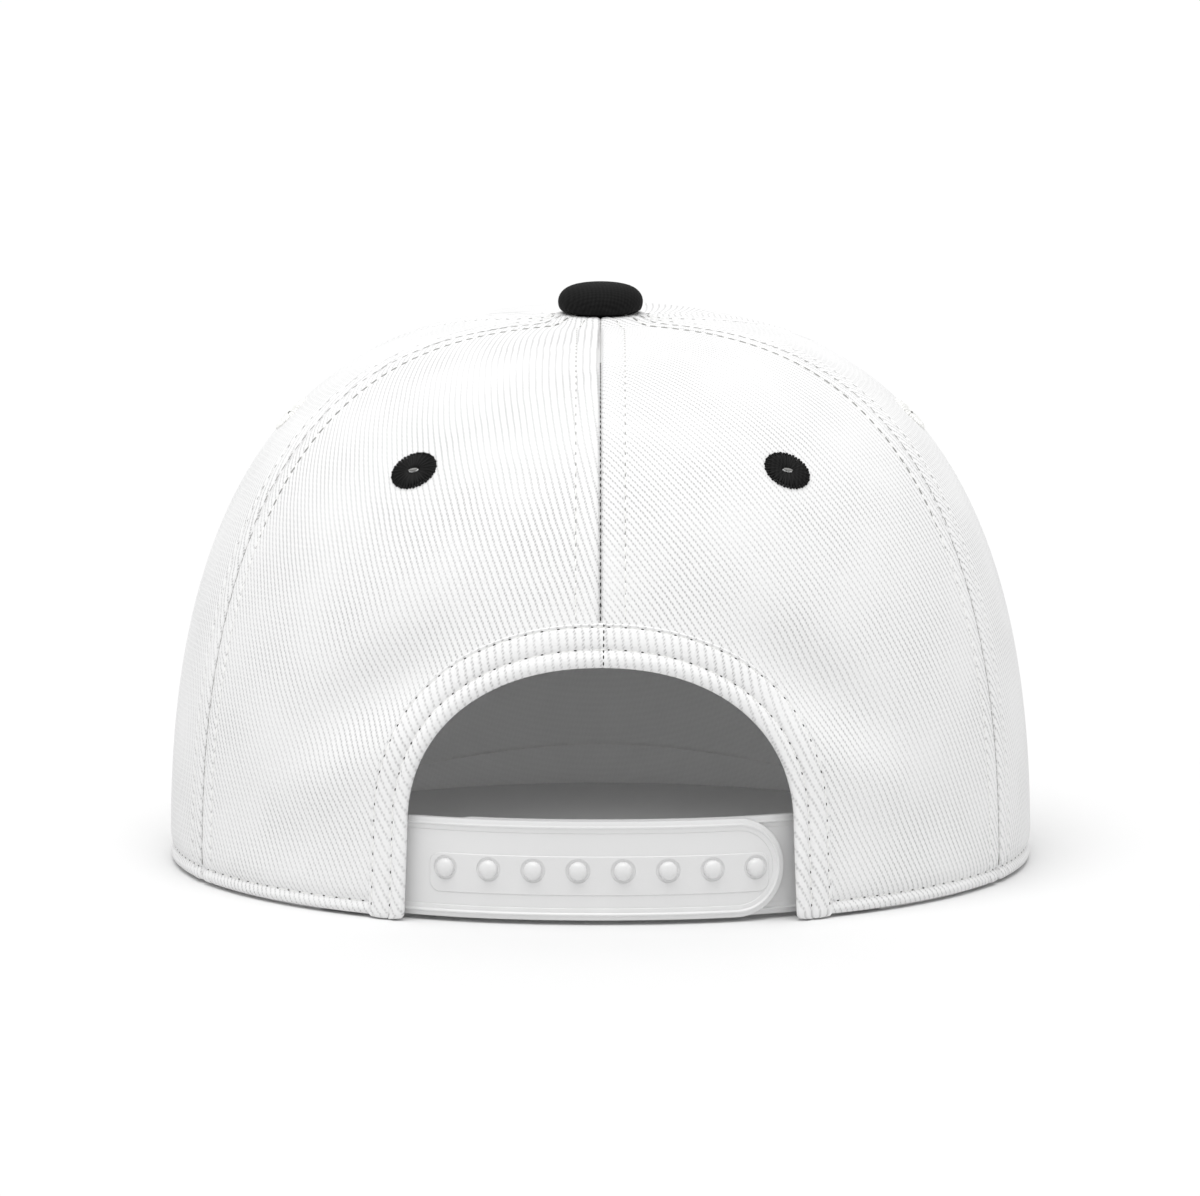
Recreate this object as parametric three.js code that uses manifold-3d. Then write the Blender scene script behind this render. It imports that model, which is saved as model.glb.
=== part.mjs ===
import * as THREE from 'three';
import { mergeVertices } from 'three/addons/utils/BufferGeometryUtils.js';
import Module from 'manifold-3d';

// Six-panel snapback cap resting on its rim. Millimetres, +Z up, rear strap towards +Y, brim towards -Y.
// An azimuth is measured round the crown's upright axis, in degrees from the rear (+Y) towards +X.

// Crown
const CROWN_HALF_WIDTH = 92.7;
const CROWN_REAR_LENGTH = 94;
const CROWN_FRONT_LENGTH = 101;
const CROWN_HEIGHT = 116.5;
const CROWN_WALL = 2;
const SHOULDER_POWER = 2.98; // higher is squarer where the wall turns into the roof
const ROOF_POWER = 2.41; // higher keeps the wall upright for longer
const REAR_FULLNESS = 0.75; // lower is fuller than the sides are
const FRONT_FULLNESS = 0.72;
const HEM_HEIGHT = 6;
const HEM_TUCK = 1; // how far the hem rolls in at the rim
const REAR_SEAM = 66.7; // azimuth of the seam between a rear and a side panel
const FRONT_SEAM = 119; // azimuth of the seam between a side and a front panel
const TOP_HOLE_RADIUS = 3;
const CLEARANCE = 0.3;

// Rear opening and its edging
const ARCH_HALF_WIDTH = 40.4;
const ARCH_FOOT_HALF_WIDTH = 41.4;
const ARCH_SPRING = 20; // height where the upright sides turn into the arch
const ARCH_HEIGHT = 55.5;
const ARCH_POWER = 2.15;
const BINDING_WIDTH = 8.8;
const BINDING_PROUD = 0.4; // how much thicker than the panel it is, on each face
const SIDE_FORESHORTENING = 0.88; // the edging seen from behind, where the crown turns away

// Button and eyelets
const BUTTON_RADIUS = 9.2;
const BUTTON_HEIGHT = 8;
const BUTTON_SHANK_RADIUS = TOP_HOLE_RADIUS - CLEARANCE;
const EYELET_RADIUS = 5;
const EYELET_HEIGHT = 1;
const EYELET_BORE_RADIUS = 1;
const EYELET_BARREL_RADIUS = 2.2;

// Brim
const BRIM_LENGTH = 70;
const BRIM_HALF_WIDTH = 84;
const BRIM_THICKNESS = 2.8;
const BRIM_RISE = 5.5; // how high its middle arches over the surface
const BRIM_TIP = 56; // angle from the front to where the brim ends at the crown
const BRIM_TIP_FADE = 5;
const BRIM_TIP_WIDTH = 1.5;
const BRIM_EDGE_ROUND = 0.8;

// Sweatband
const SWEATBAND_HEIGHT = 32;
const SWEATBAND_WALL = 1.2;
const SWEATBAND_RAISE = 0.5;
const SWEATBAND_SLACK = 0.6; // room between the band and the panels

// Strap
const STRAP_HEIGHT = 21;
const STRAP_THICKNESS = 1.5;
const STRAP_RAISE = 1; // lower edge above the surface
const STRAP_SLACK = 0.6; // room between its tails and the cloth
const STRAP_INSET = 4.4; // outer face behind the crown's surface at the rear centre
const STRAP_RIM_WIDTH = 2;
const STRAP_RIM_PROUD = 0.35;
const STRAP_REACH = 25.3; // angle from the rear to the outer half's free end
const STRAP_TAIL = 39; // angle to where a half ends, sewn in under the cloth
const STRAP_INNER_REACH = 24.5;
const PEG_COUNT = 8;
const PEG_PITCH = 9.5;
const PEG_RADIUS = 2.1;
const PEG_HOLE_RADIUS = 2.45;
const PEG_PROUD = 0.8;

// Hollows pressed into the rear panels, and swells with a depth below zero. Azimuth and lean are in degrees,
// height, reach and breadth are shares of the crown's height, and depth is a share of the dent depth.
const DENT_DEPTH = 2;
const DENTS = [
  { azimuth: 30, height: 0.43, reach: 0.19, breadth: 0.075, lean: 32, depth: 1 },
  { azimuth: 36, height: 0.3, reach: 0.19, breadth: 0.075, lean: 33, depth: -0.45 },
  { azimuth: 47, height: 0.15, reach: 0.16, breadth: 0.085, lean: 12, depth: 0.3 },
];

const MERIDIAN_STEPS = 70;
const BUTTON_SIDES = 20;
const SMALL_SIDES = 10;
const STRAP_COLUMNS = 20;
const { clamp, degToRad, euclideanModulo, lerp, radToDeg, smoothstep } = THREE.MathUtils;

const wasm = await Module();
wasm.setup();

const PANEL_CLOTH = { color: 0xf4f4f3, roughness: 0.9, metalness: 0 };
const BLACK_CLOTH = { color: 0x232323, roughness: 0.85, metalness: 0 };
const WHITE_THREAD = { color: 0xededec, roughness: 0.7, metalness: 0 };
const BAND_CLOTH = { color: 0xdededc, roughness: 0.9, metalness: 0 };
const STRAP_PLASTIC = { color: 0xe6e6e4, roughness: 0.35, metalness: 0 };

const cap = new THREE.Group();

function addPiece(name, geometry, finish) {
  const mesh = new THREE.Mesh(geometry, new THREE.MeshStandardMaterial(finish));
  mesh.name = name;
  cap.add(mesh);
  return mesh;
}

function toSolid(geometry) {
  const bare = geometry.clone();
  bare.deleteAttribute('normal');
  bare.deleteAttribute('uv');
  const merged = mergeVertices(bare, 1e-4);
  return new wasm.Manifold(new wasm.Mesh({
    numProp: 3,
    vertProperties: Float32Array.from(merged.attributes.position.array),
    triVerts: Uint32Array.from(merged.index.array),
  }));
}

function toGeometry(solid) {
  const mesh = solid.getMesh();
  const geometry = new THREE.BufferGeometry();
  geometry.setAttribute('position', new THREE.BufferAttribute(mesh.vertProperties, 3));
  geometry.setIndex(new THREE.BufferAttribute(mesh.triVerts, 1));
  return geometry;
}

// Closed wall between two grids of points, whose across and up shares both run from 0 to 1
function wallBetween(columns, rows, outerPoint, innerPoint) {
  const positions = [];
  const index = [];
  for (const point of [outerPoint, innerPoint]) {
    for (let j = 0; j <= rows; j++) {
      for (let i = 0; i <= columns; i++) positions.push(...point(i / columns, j / rows).toArray());
    }
  }
  const outer = (i, j) => j * (columns + 1) + i;
  const inner = (i, j) => (rows + 1) * (columns + 1) + outer(i, j);
  const quad = (a, b, c, d) => index.push(a, b, c, a, c, d);
  for (let i = 0; i < columns; i++) {
    for (let j = 0; j < rows; j++) {
      quad(outer(i, j), outer(i, j + 1), outer(i + 1, j + 1), outer(i + 1, j));
      quad(inner(i, j), inner(i + 1, j), inner(i + 1, j + 1), inner(i, j + 1));
    }
    quad(outer(i, 0), outer(i + 1, 0), inner(i + 1, 0), inner(i, 0));
    quad(outer(i, rows), inner(i, rows), inner(i + 1, rows), outer(i + 1, rows));
  }
  for (let j = 0; j < rows; j++) {
    quad(outer(0, j), inner(0, j), inner(0, j + 1), outer(0, j + 1));
    quad(outer(columns, j), outer(columns, j + 1), inner(columns, j + 1), inner(columns, j));
  }
  const geometry = new THREE.BufferGeometry();
  geometry.setAttribute('position', new THREE.Float32BufferAttribute(positions, 3));
  geometry.setIndex(index);
  return geometry;
}

// Distance of the crown's smooth outside from its axis
function crownRadius(azimuth, height) {
  const turn = degToRad(azimuth);
  const up = height / CROWN_HEIGHT;
  const share = (1 - up ** ROOF_POWER) ** (1 / SHOULDER_POWER);
  const atRear = Math.cos(turn) > 0;
  const across = CROWN_HALF_WIDTH * share;
  const along = atRear ? CROWN_REAR_LENGTH * share ** REAR_FULLNESS : CROWN_FRONT_LENGTH * share ** FRONT_FULLNESS;
  return 1 / Math.hypot(Math.sin(turn) / across, Math.cos(turn) / along);
}

// The same azimuth on the +X side, from 0 at the rear to 180 at the front
function folded(azimuth) {
  return Math.abs(euclideanModulo(azimuth + 180, 360) - 180);
}

function dentDepth(azimuth, height) {
  let depth = 0;
  for (const dent of DENTS) {
    const lean = degToRad(dent.lean);
    const across = degToRad(folded(azimuth) - dent.azimuth) * CROWN_REAR_LENGTH;
    const up = height - dent.height * CROWN_HEIGHT;
    const along = (across * Math.cos(lean) - up * Math.sin(lean)) / (dent.reach * CROWN_HEIGHT);
    const over = (across * Math.sin(lean) + up * Math.cos(lean)) / (dent.breadth * CROWN_HEIGHT);
    depth += dent.depth * DENT_DEPTH * Math.exp(-(along ** 2) - over ** 2);
  }
  return depth;
}

// Height of the brim's underside, arched across its width
function brimRise(x) {
  const share = Math.min(Math.abs(x) / BRIM_HALF_WIDTH, 1);
  return BRIM_RISE * Math.cos((share * Math.PI) / 2) ** 2.5;
}

// Height of the crown's lower edge, which stands on the brim at the front
function rimHeight(azimuth) {
  const fromFront = 180 - folded(azimuth);
  const onBrim = 1 - smoothstep(fromFront, BRIM_TIP, BRIM_TIP + BRIM_TIP_FADE);
  const x = crownRadius(azimuth, 0) * Math.sin(degToRad(azimuth));
  return onBrim * (BRIM_THICKNESS + CLEARANCE + brimRise(x));
}

// Curve of the crown's outside in an upright half-plane, from the rim to the hole in the top
function meridian(azimuth) {
  const low = rimHeight(azimuth);
  const points = [];
  for (let i = 0; i <= MERIDIAN_STEPS; i++) {
    const height = lerp(low, CROWN_HEIGHT, Math.sin((Math.PI / 2) * (i / MERIDIAN_STEPS)));
    const hem = Math.max(0, 1 - (height - low) / HEM_HEIGHT);
    const radius = crownRadius(azimuth, height) - dentDepth(azimuth, height) - HEM_TUCK * hem;
    const last = points[points.length - 1];
    if (radius < TOP_HOLE_RADIUS) {
      const share = (last.x - TOP_HOLE_RADIUS) / (last.x - radius);
      points.push(new THREE.Vector2(TOP_HOLE_RADIUS, lerp(last.y, height, share)));
      break;
    }
    points.push(new THREE.Vector2(radius, height));
  }
  return new THREE.SplineCurve(points);
}

const meridians = new Map();

function meridianAt(azimuth) {
  if (!meridians.has(azimuth)) meridians.set(azimuth, meridian(azimuth));
  return meridians.get(azimuth);
}

// Point of the crown's outside, at a run in millimetres up the wall from the rim
function crownPoint(azimuth, run) {
  const curve = meridianAt(azimuth);
  const share = clamp(run / curve.getLength(), 0, 1);
  const point = curve.getPointAt(share);
  const turn = degToRad(azimuth);
  return new THREE.Vector3(point.x * Math.sin(turn), point.x * Math.cos(turn), point.y);
}

function crownNormal(azimuth, run) {
  const across = crownPoint(azimuth + 1, run).sub(crownPoint(azimuth - 1, run));
  const up = crownPoint(azimuth, run + 1).sub(crownPoint(azimuth, run - 1));
  const normal = up.cross(across);
  if (run === 0) normal.z = 0; // the rim's lower face stays level
  return normal.normalize();
}

// Layer of cloth that follows the crown between two azimuths, from an outside to an inside depth.
// Its first row of faces is the hem.
function crownLayer({ from, to, low, high, outside, inside, columns, rows, gap }) {
  const place = (depth) => (across, up) => {
    const azimuth = lerp(from, to, across);
    const hem = 1 / rows;
    const run = up < hem ? lerp(low, HEM_HEIGHT, up / hem) : lerp(HEM_HEIGHT, high(azimuth), (up - hem) / (1 - hem));
    const point = crownPoint(azimuth, run).addScaledVector(crownNormal(azimuth, run), -depth);
    const side = across === 0 ? 1 : across === 1 ? -1 : 0;
    const turn = degToRad(azimuth);
    const seamShift = new THREE.Vector3(Math.cos(turn), -Math.sin(turn), 0);
    return point.addScaledVector(seamShift, (side * gap) / 2);
  };
  return wallBetween(columns, rows, place(outside), place(inside));
}

// Arch outline of the rear opening seen from behind, grown by a margin
function archPrism(margin) {
  const halfWidth = ARCH_HALF_WIDTH + margin * SIDE_FORESHORTENING;
  const footHalfWidth = ARCH_FOOT_HALF_WIDTH + margin * SIDE_FORESHORTENING;
  const rise = ARCH_HEIGHT - ARCH_SPRING + margin;
  const outline = new THREE.Shape();
  const steps = 28;
  outline.moveTo(footHalfWidth, -margin - 1);
  for (let i = 0; i <= steps; i++) {
    const turn = (Math.PI * i) / steps;
    const across = Math.sign(Math.cos(turn)) * Math.abs(Math.cos(turn)) ** (2 / ARCH_POWER);
    const up = Math.sin(turn) ** (2 / ARCH_POWER);
    outline.lineTo(halfWidth * across, ARCH_SPRING + rise * up);
  }
  outline.lineTo(-footHalfWidth, -margin - 1);
  const prism = new THREE.ExtrudeGeometry(outline, { depth: CROWN_REAR_LENGTH, bevelEnabled: false });
  prism.rotateX(Math.PI / 2); // the outline stands upright and reaches from the rear to the axis
  prism.translate(0, CROWN_REAR_LENGTH * 1.25, 0);
  return toSolid(prism);
}

// Run up the wall to a height
function runToHeight(azimuth, height) {
  const length = meridianAt(azimuth).getLength();
  let low = 0;
  let high = length;
  while (high - low > length / 1e5) {
    const middle = (low + high) / 2;
    if (crownPoint(azimuth, middle).z < height) low = middle;
    else high = middle;
  }
  return low;
}

function eyeletPlace({ azimuth, height }) {
  const run = runToHeight(azimuth, height * CROWN_HEIGHT);
  const normal = crownNormal(azimuth, run);
  const turned = new THREE.Quaternion().setFromUnitVectors(new THREE.Vector3(0, 1, 0), normal);
  return { point: crownPoint(azimuth, run), turned };
}

function eyeletCut(place) {
  const { point, turned } = eyeletPlace(place);
  const radius = EYELET_BARREL_RADIUS + CLEARANCE;
  const cut = new THREE.CylinderGeometry(radius, radius, 4 * CROWN_WALL, SMALL_SIDES);
  cut.applyQuaternion(turned);
  cut.translate(point.x, point.y, point.z);
  return toSolid(cut);
}

function panel({ from, to, vent, columns, rows, atArch }) {
  const wall = crownLayer({
    from,
    to,
    low: 0,
    high: (azimuth) => meridianAt(azimuth).getLength(),
    outside: 0,
    inside: CROWN_WALL,
    columns,
    rows,
    gap: CLEARANCE,
  });
  const solid = toSolid(wall).subtract(eyeletCut(vent));
  return toGeometry(atArch ? solid.subtract(archPrism(BINDING_WIDTH + CLEARANCE)) : solid);
}

// Domed ring of thread with a barrel through the panel
function eyelet() {
  const flange = EYELET_HEIGHT + CLEARANCE;
  const profile = [
    [EYELET_BORE_RADIUS, -CROWN_WALL],
    [EYELET_BARREL_RADIUS, -CROWN_WALL],
    [EYELET_BARREL_RADIUS, CLEARANCE],
    [EYELET_RADIUS, CLEARANCE],
    [EYELET_RADIUS * 0.94, flange * 0.7],
    [EYELET_RADIUS * 0.7, flange],
    [EYELET_BORE_RADIUS * 1.4, flange * 0.85],
    [EYELET_BORE_RADIUS, flange * 0.5],
    [EYELET_BORE_RADIUS, -CROWN_WALL],
  ];
  return new THREE.LatheGeometry(profile.map(([x, y]) => new THREE.Vector2(x, y)), SMALL_SIDES);
}

// Flattened dome with a full rounded edge, and a shank down through the crown
function topButton() {
  const shape = new THREE.Path();
  shape.moveTo(0, -CROWN_WALL - CLEARANCE);
  shape.lineTo(BUTTON_SHANK_RADIUS, -CROWN_WALL - CLEARANCE);
  shape.lineTo(BUTTON_SHANK_RADIUS, CLEARANCE);
  shape.lineTo(BUTTON_RADIUS * 0.88, CLEARANCE);
  shape.bezierCurveTo(
    BUTTON_RADIUS * 1.02, BUTTON_HEIGHT * 0.25,
    BUTTON_RADIUS * 1.02, BUTTON_HEIGHT * 0.62,
    BUTTON_RADIUS * 0.86, BUTTON_HEIGHT * 0.83,
  );
  shape.bezierCurveTo(
    BUTTON_RADIUS * 0.68, BUTTON_HEIGHT * 0.99,
    BUTTON_RADIUS * 0.3, BUTTON_HEIGHT,
    0, BUTTON_HEIGHT,
  );
  const button = new THREE.LatheGeometry(shape.getPoints(4), BUTTON_SIDES);
  button.rotateX(Math.PI / 2);
  return button;
}

function archBinding() {
  const span = REAR_SEAM * 0.75;
  const layer = crownLayer({
    from: -span,
    to: span,
    low: 0,
    high: () => ARCH_HEIGHT + 2 * BINDING_WIDTH,
    outside: -BINDING_PROUD,
    inside: CROWN_WALL + BINDING_PROUD,
    columns: 24,
    rows: 8,
    gap: 0,
  });
  return toGeometry(toSolid(layer).intersect(archPrism(BINDING_WIDTH)).subtract(archPrism(0)));
}

function sweatband() {
  const start = STRAP_TAIL + 1;
  return crownLayer({
    from: start,
    to: 360 - start,
    low: SWEATBAND_RAISE,
    high: () => SWEATBAND_RAISE + SWEATBAND_HEIGHT,
    outside: CROWN_WALL + SWEATBAND_SLACK,
    inside: CROWN_WALL + SWEATBAND_SLACK + SWEATBAND_WALL,
    columns: 48,
    rows: 5,
    gap: 0,
  });
}

// Flat visor, from under the front panels' lower edge to its rounded front
function brim() {
  const front = CROWN_FRONT_LENGTH + BRIM_LENGTH;
  const tipTurn = degToRad(180 - BRIM_TIP);
  const tipRadius = crownRadius(180 - BRIM_TIP, 0) + BRIM_TIP_WIDTH;
  const tip = new THREE.Vector2(tipRadius * Math.sin(tipTurn), tipRadius * Math.cos(tipTurn));
  const edge = new THREE.CubicBezierCurve(
    new THREE.Vector2(0, -front),
    new THREE.Vector2(BRIM_HALF_WIDTH * 0.83, -front),
    new THREE.Vector2(BRIM_HALF_WIDTH * 1.12, -front + BRIM_LENGTH * 0.72),
    tip,
  );
  const place = (isTop) => (across, out) => {
    const side = 2 * across - 1;
    const azimuth = 180 - side * BRIM_TIP;
    const turn = degToRad(azimuth);
    const radius = crownRadius(azimuth, 0) - CROWN_WALL;
    const inner = new THREE.Vector2(radius * Math.sin(turn), radius * Math.cos(turn));
    const rim = edge.getPoint(Math.abs(side));
    const outer = new THREE.Vector2(Math.sign(side) * rim.x, rim.y);
    const reach = outer.clone().sub(inner);
    const round = BRIM_EDGE_ROUND / 2 / reach.length();
    const point = inner.addScaledVector(reach, out - (isTop ? round : 0) * out);
    const lift = isTop ? BRIM_THICKNESS : 0;
    return new THREE.Vector3(point.x, point.y, brimRise(point.x) + lift);
  };
  return wallBetween(32, 5, place(true), place(false));
}

// Distance of a strap face from the axis: bowed less than the crown in the opening, against the cloth past it
function strapRadius(azimuth, depth) {
  const cloth = CROWN_WALL + BINDING_PROUD + STRAP_SLACK;
  const foot = degToRad(azimuth) * CROWN_REAR_LENGTH / ARCH_FOOT_HALF_WIDTH;
  const free = Math.abs(foot) < 1 ? Math.cos((foot * Math.PI) / 2) ** 2 : 0;
  const underCloth = crownRadius(azimuth, STRAP_RAISE + STRAP_HEIGHT) - cloth;
  const inset = CROWN_REAR_LENGTH - STRAP_INSET - (crownRadius(0, STRAP_RAISE + STRAP_HEIGHT) - cloth);
  return underCloth + free * inset - depth;
}

function strapPoint(azimuth, height, depth) {
  const turn = degToRad(azimuth);
  const radius = strapRadius(azimuth, depth);
  return new THREE.Vector3(radius * Math.sin(turn), radius * Math.cos(turn), height);
}

function pegAzimuth(i) {
  const run = (i - (PEG_COUNT - 1) / 2) * PEG_PITCH;
  return radToDeg(run / (CROWN_REAR_LENGTH - STRAP_INSET));
}

// Upright disc, cylinder or peg turned to face out of the strap at a peg's place
function atPeg(geometry, i, depth) {
  const azimuth = pegAzimuth(i);
  const middle = strapPoint(azimuth, STRAP_RAISE + STRAP_HEIGHT / 2, depth);
  geometry.rotateZ(-degToRad(azimuth));
  geometry.translate(middle.x, middle.y, middle.z);
  return toSolid(geometry);
}

function strapStrip(from, to, depth) {
  const outer = (across, up) => strapPoint(lerp(from, to, across), STRAP_RAISE + STRAP_HEIGHT * up, depth);
  const inner = (across, up) =>
    strapPoint(lerp(from, to, across), STRAP_RAISE + STRAP_HEIGHT * up, depth + STRAP_THICKNESS);
  return toSolid(wallBetween(STRAP_COLUMNS, 1, outer, inner));
}

// Prism that leaves a half-round end on the strap, from its free end towards the other side
function roundEnd(azimuth, towards) {
  const radius = STRAP_HEIGHT / 2;
  const end = strapPoint(azimuth, 0, 0).x;
  const centre = end + towards * radius;
  const outline = new THREE.Shape();
  const start = towards > 0 ? Math.PI / 2 : -Math.PI / 2;
  outline.absarc(centre, 0, radius, start, start + Math.PI, false);
  outline.lineTo(centre + towards * CROWN_HALF_WIDTH, -towards * radius);
  outline.lineTo(centre + towards * CROWN_HALF_WIDTH, towards * radius);
  const prism = new THREE.ExtrudeGeometry(outline, { depth: CROWN_REAR_LENGTH, bevelEnabled: false, curveSegments: 16 });
  prism.rotateX(Math.PI / 2);
  prism.translate(0, CROWN_REAR_LENGTH * 1.25, STRAP_RAISE + radius);
  return toSolid(prism);
}

// Raised rim along the upper or the lower edge of the outer half
function strapRim(from, to, low) {
  const outer = (across, up) => strapPoint(lerp(from, to, across), low + STRAP_RIM_WIDTH * up, 0);
  const inner = (across, up) =>
    strapPoint(lerp(from, to, across), low + STRAP_RIM_WIDTH * up, STRAP_RIM_PROUD + STRAP_THICKNESS / 2);
  return toSolid(wallBetween(STRAP_COLUMNS, 1, outer, inner));
}

function strapOuter() {
  let strap = strapStrip(-STRAP_REACH, STRAP_TAIL, STRAP_RIM_PROUD);
  for (const low of [STRAP_RAISE, STRAP_RAISE + STRAP_HEIGHT - STRAP_RIM_WIDTH]) {
    strap = strap.add(strapRim(-STRAP_REACH, STRAP_TAIL, low));
  }
  strap = strap.intersect(roundEnd(-STRAP_REACH, 1));
  for (let i = 0; i < PEG_COUNT; i++) {
    const hole = new THREE.CylinderGeometry(PEG_HOLE_RADIUS, PEG_HOLE_RADIUS, 4 * STRAP_THICKNESS, SMALL_SIDES);
    strap = strap.subtract(atPeg(hole, i, 0));
  }
  return toGeometry(strap);
}

// Round peg with a domed head, which stands out through a hole of the outer half
function peg() {
  const length = CLEARANCE + STRAP_THICKNESS + PEG_PROUD;
  const sink = STRAP_THICKNESS / 3;
  const profile = [
    [0, -sink],
    [PEG_RADIUS, -sink],
    [PEG_RADIUS, length - PEG_PROUD * 0.6],
    [PEG_RADIUS * 0.8, length - PEG_PROUD * 0.15],
    [PEG_RADIUS * 0.4, length],
    [0, length],
  ];
  return new THREE.LatheGeometry(profile.map(([x, y]) => new THREE.Vector2(x, y)), SMALL_SIDES);
}

function strapInner() {
  const depth = STRAP_RIM_PROUD + STRAP_THICKNESS + CLEARANCE;
  let strap = strapStrip(-STRAP_TAIL, STRAP_INNER_REACH, depth).intersect(roundEnd(STRAP_INNER_REACH, -1));
  for (let i = 0; i < PEG_COUNT; i++) strap = strap.add(atPeg(peg(), i, depth));
  return toGeometry(strap);
}

// One row for each pair of panels. The eyelet's place is its azimuth and a share of the crown's height.
const PANELS = [
  { name: 'rear', from: 0, to: REAR_SEAM, azimuth: 32.1, height: 0.794, columns: 15, rows: 19, atArch: true },
  { name: 'side', from: REAR_SEAM, to: FRONT_SEAM, azimuth: 91, height: 0.824, columns: 10, rows: 13, atArch: false },
  { name: 'front', from: FRONT_SEAM, to: 180, azimuth: 148, height: 0.82, columns: 12, rows: 13, atArch: false },
];

for (const [side, sign] of [['left', 1], ['right', -1]]) {
  for (const row of PANELS) {
    const ends = sign > 0 ? { from: row.from, to: row.to } : { from: -row.to, to: -row.from };
    const vent = { azimuth: sign * row.azimuth, height: row.height };
    const geometry = panel({ ...row, ...ends, vent });
    addPiece(`${row.name}_panel_${side}`, geometry, PANEL_CLOTH);
    const ring = addPiece(`eyelet_${row.name}_${side}`, eyelet(), row.atArch ? BLACK_CLOTH : WHITE_THREAD);
    const { point, turned } = eyeletPlace(vent);
    ring.position.copy(point);
    ring.quaternion.copy(turned);
  }
}
addPiece('arch_binding', archBinding(), PANEL_CLOTH);
addPiece('sweatband', sweatband(), BAND_CLOTH);
addPiece('brim', brim(), PANEL_CLOTH);
addPiece('strap_outer', strapOuter(), STRAP_PLASTIC);
addPiece('strap_inner', strapInner(), STRAP_PLASTIC);
addPiece('top_button', topButton(), BLACK_CLOTH).position.z = CROWN_HEIGHT;

// The origin is midway between the rear of the crown and the front of the brim
const bounds = new THREE.Box3().setFromObject(cap);
cap.position.y = -(bounds.min.y + bounds.max.y) / 2;

export default cap;
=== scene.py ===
# White six-panel snapback cap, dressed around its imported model. Metres, +Z up, the strap towards +Y.
# Sizes in the pieces' dictionaries are millimetres. Azimuths are degrees round the crown, from the rear to +X.
import math

import bmesh
import bpy
import numpy as np
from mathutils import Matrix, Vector


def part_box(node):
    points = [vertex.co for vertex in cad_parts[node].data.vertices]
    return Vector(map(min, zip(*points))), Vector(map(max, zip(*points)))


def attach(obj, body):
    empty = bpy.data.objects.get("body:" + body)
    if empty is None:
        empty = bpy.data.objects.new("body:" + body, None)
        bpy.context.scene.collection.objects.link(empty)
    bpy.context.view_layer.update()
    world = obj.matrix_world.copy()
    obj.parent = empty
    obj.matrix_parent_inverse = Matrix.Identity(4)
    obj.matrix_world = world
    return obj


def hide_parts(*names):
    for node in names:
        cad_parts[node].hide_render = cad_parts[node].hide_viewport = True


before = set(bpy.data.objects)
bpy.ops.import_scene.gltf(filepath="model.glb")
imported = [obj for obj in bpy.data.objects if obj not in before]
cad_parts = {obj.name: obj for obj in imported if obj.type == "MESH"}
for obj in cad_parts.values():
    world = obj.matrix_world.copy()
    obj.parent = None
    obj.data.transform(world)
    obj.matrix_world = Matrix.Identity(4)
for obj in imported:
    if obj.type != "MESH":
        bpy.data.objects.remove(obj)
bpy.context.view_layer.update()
bpy.ops.object.select_all(action="DESELECT")

mm = 0.001
buttonLow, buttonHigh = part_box("top_button")
axisY = (buttonLow.y + buttonHigh.y) / 2  # the crown's upright axis


# Tools


def srgb(code):
    parts = [int(code[i:i + 2], 16) / 255 for i in (1, 3, 5)]
    linear = [c / 12.92 if c <= 0.04045 else ((c + 0.055) / 1.055) ** 2.4 for c in parts]
    return (*linear, 1)


# Sets a node's sockets to values or "#" colours, or links them to a socket or another node's first output
def setInputs(node, inputs):
    for name, value in inputs.items():
        if isinstance(value, bpy.types.Node):
            value = value.outputs[0]
        if isinstance(value, bpy.types.NodeSocket):
            node.id_data.links.new(value, node.inputs[name])
        else:
            node.inputs[name].default_value = srgb(value) if isinstance(value, str) else value


def addNode(tree, kind, inputs=None, **settings):
    node = tree.nodes.new("ShaderNode" + kind)
    for name, value in settings.items():
        setattr(node, name, value)
    setInputs(node, inputs or {})
    return node


def newMaterial(name):
    material = bpy.data.materials.new(name)
    material.use_nodes = True
    return material, material.node_tree, material.node_tree.nodes["Principled BSDF"]


def smooth(share):
    share = np.clip(share, 0, 1)
    return share * share * (3 - 2 * share)


def toFrame(points):
    return (np.asarray(points, float) + (0, axisY / mm, 0)) * mm


def finishPiece(piece, material, slot, *nodes, degrees=60):
    selectOnly(piece)
    bpy.ops.object.shade_smooth_by_angle(angle=math.radians(degrees))
    piece.data.materials.clear()
    piece.data.materials.append(material)
    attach(piece, "root")
    if nodes:
        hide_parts(*nodes)
    piece.select_set(False)


def addObject(name, data):
    made = bpy.data.objects.new(name, data)
    bpy.context.collection.objects.link(made)
    return made


def selectOnly(piece):
    bpy.ops.object.select_all(action="DESELECT")
    piece.select_set(True)
    bpy.context.view_layer.objects.active = piece


def startEdit(piece):
    selectOnly(piece)
    bpy.ops.object.mode_set(mode="EDIT")
    bpy.ops.mesh.select_all(action="SELECT")


def endEdit():
    bpy.ops.object.mode_set(mode="OBJECT")


def applyModifier(piece, kind, **settings):
    modifier = piece.modifiers.new(kind.lower(), kind)
    for name, value in settings.items():
        setattr(modifier, name, value)
    bpy.context.view_layer.objects.active = piece
    bpy.ops.object.modifier_apply(modifier=modifier.name)


def setCloth(mesh, cloth):
    layer = mesh.uv_layers.active or mesh.uv_layers.new()
    layer.name = "cloth"
    corner = np.zeros(len(mesh.loops), np.int32)
    mesh.loops.foreach_get("vertex_index", corner)
    layer.uv.foreach_set("vector", (cloth.reshape(-1, 2)[corner] * mm).astype(np.float32).ravel())


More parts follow.
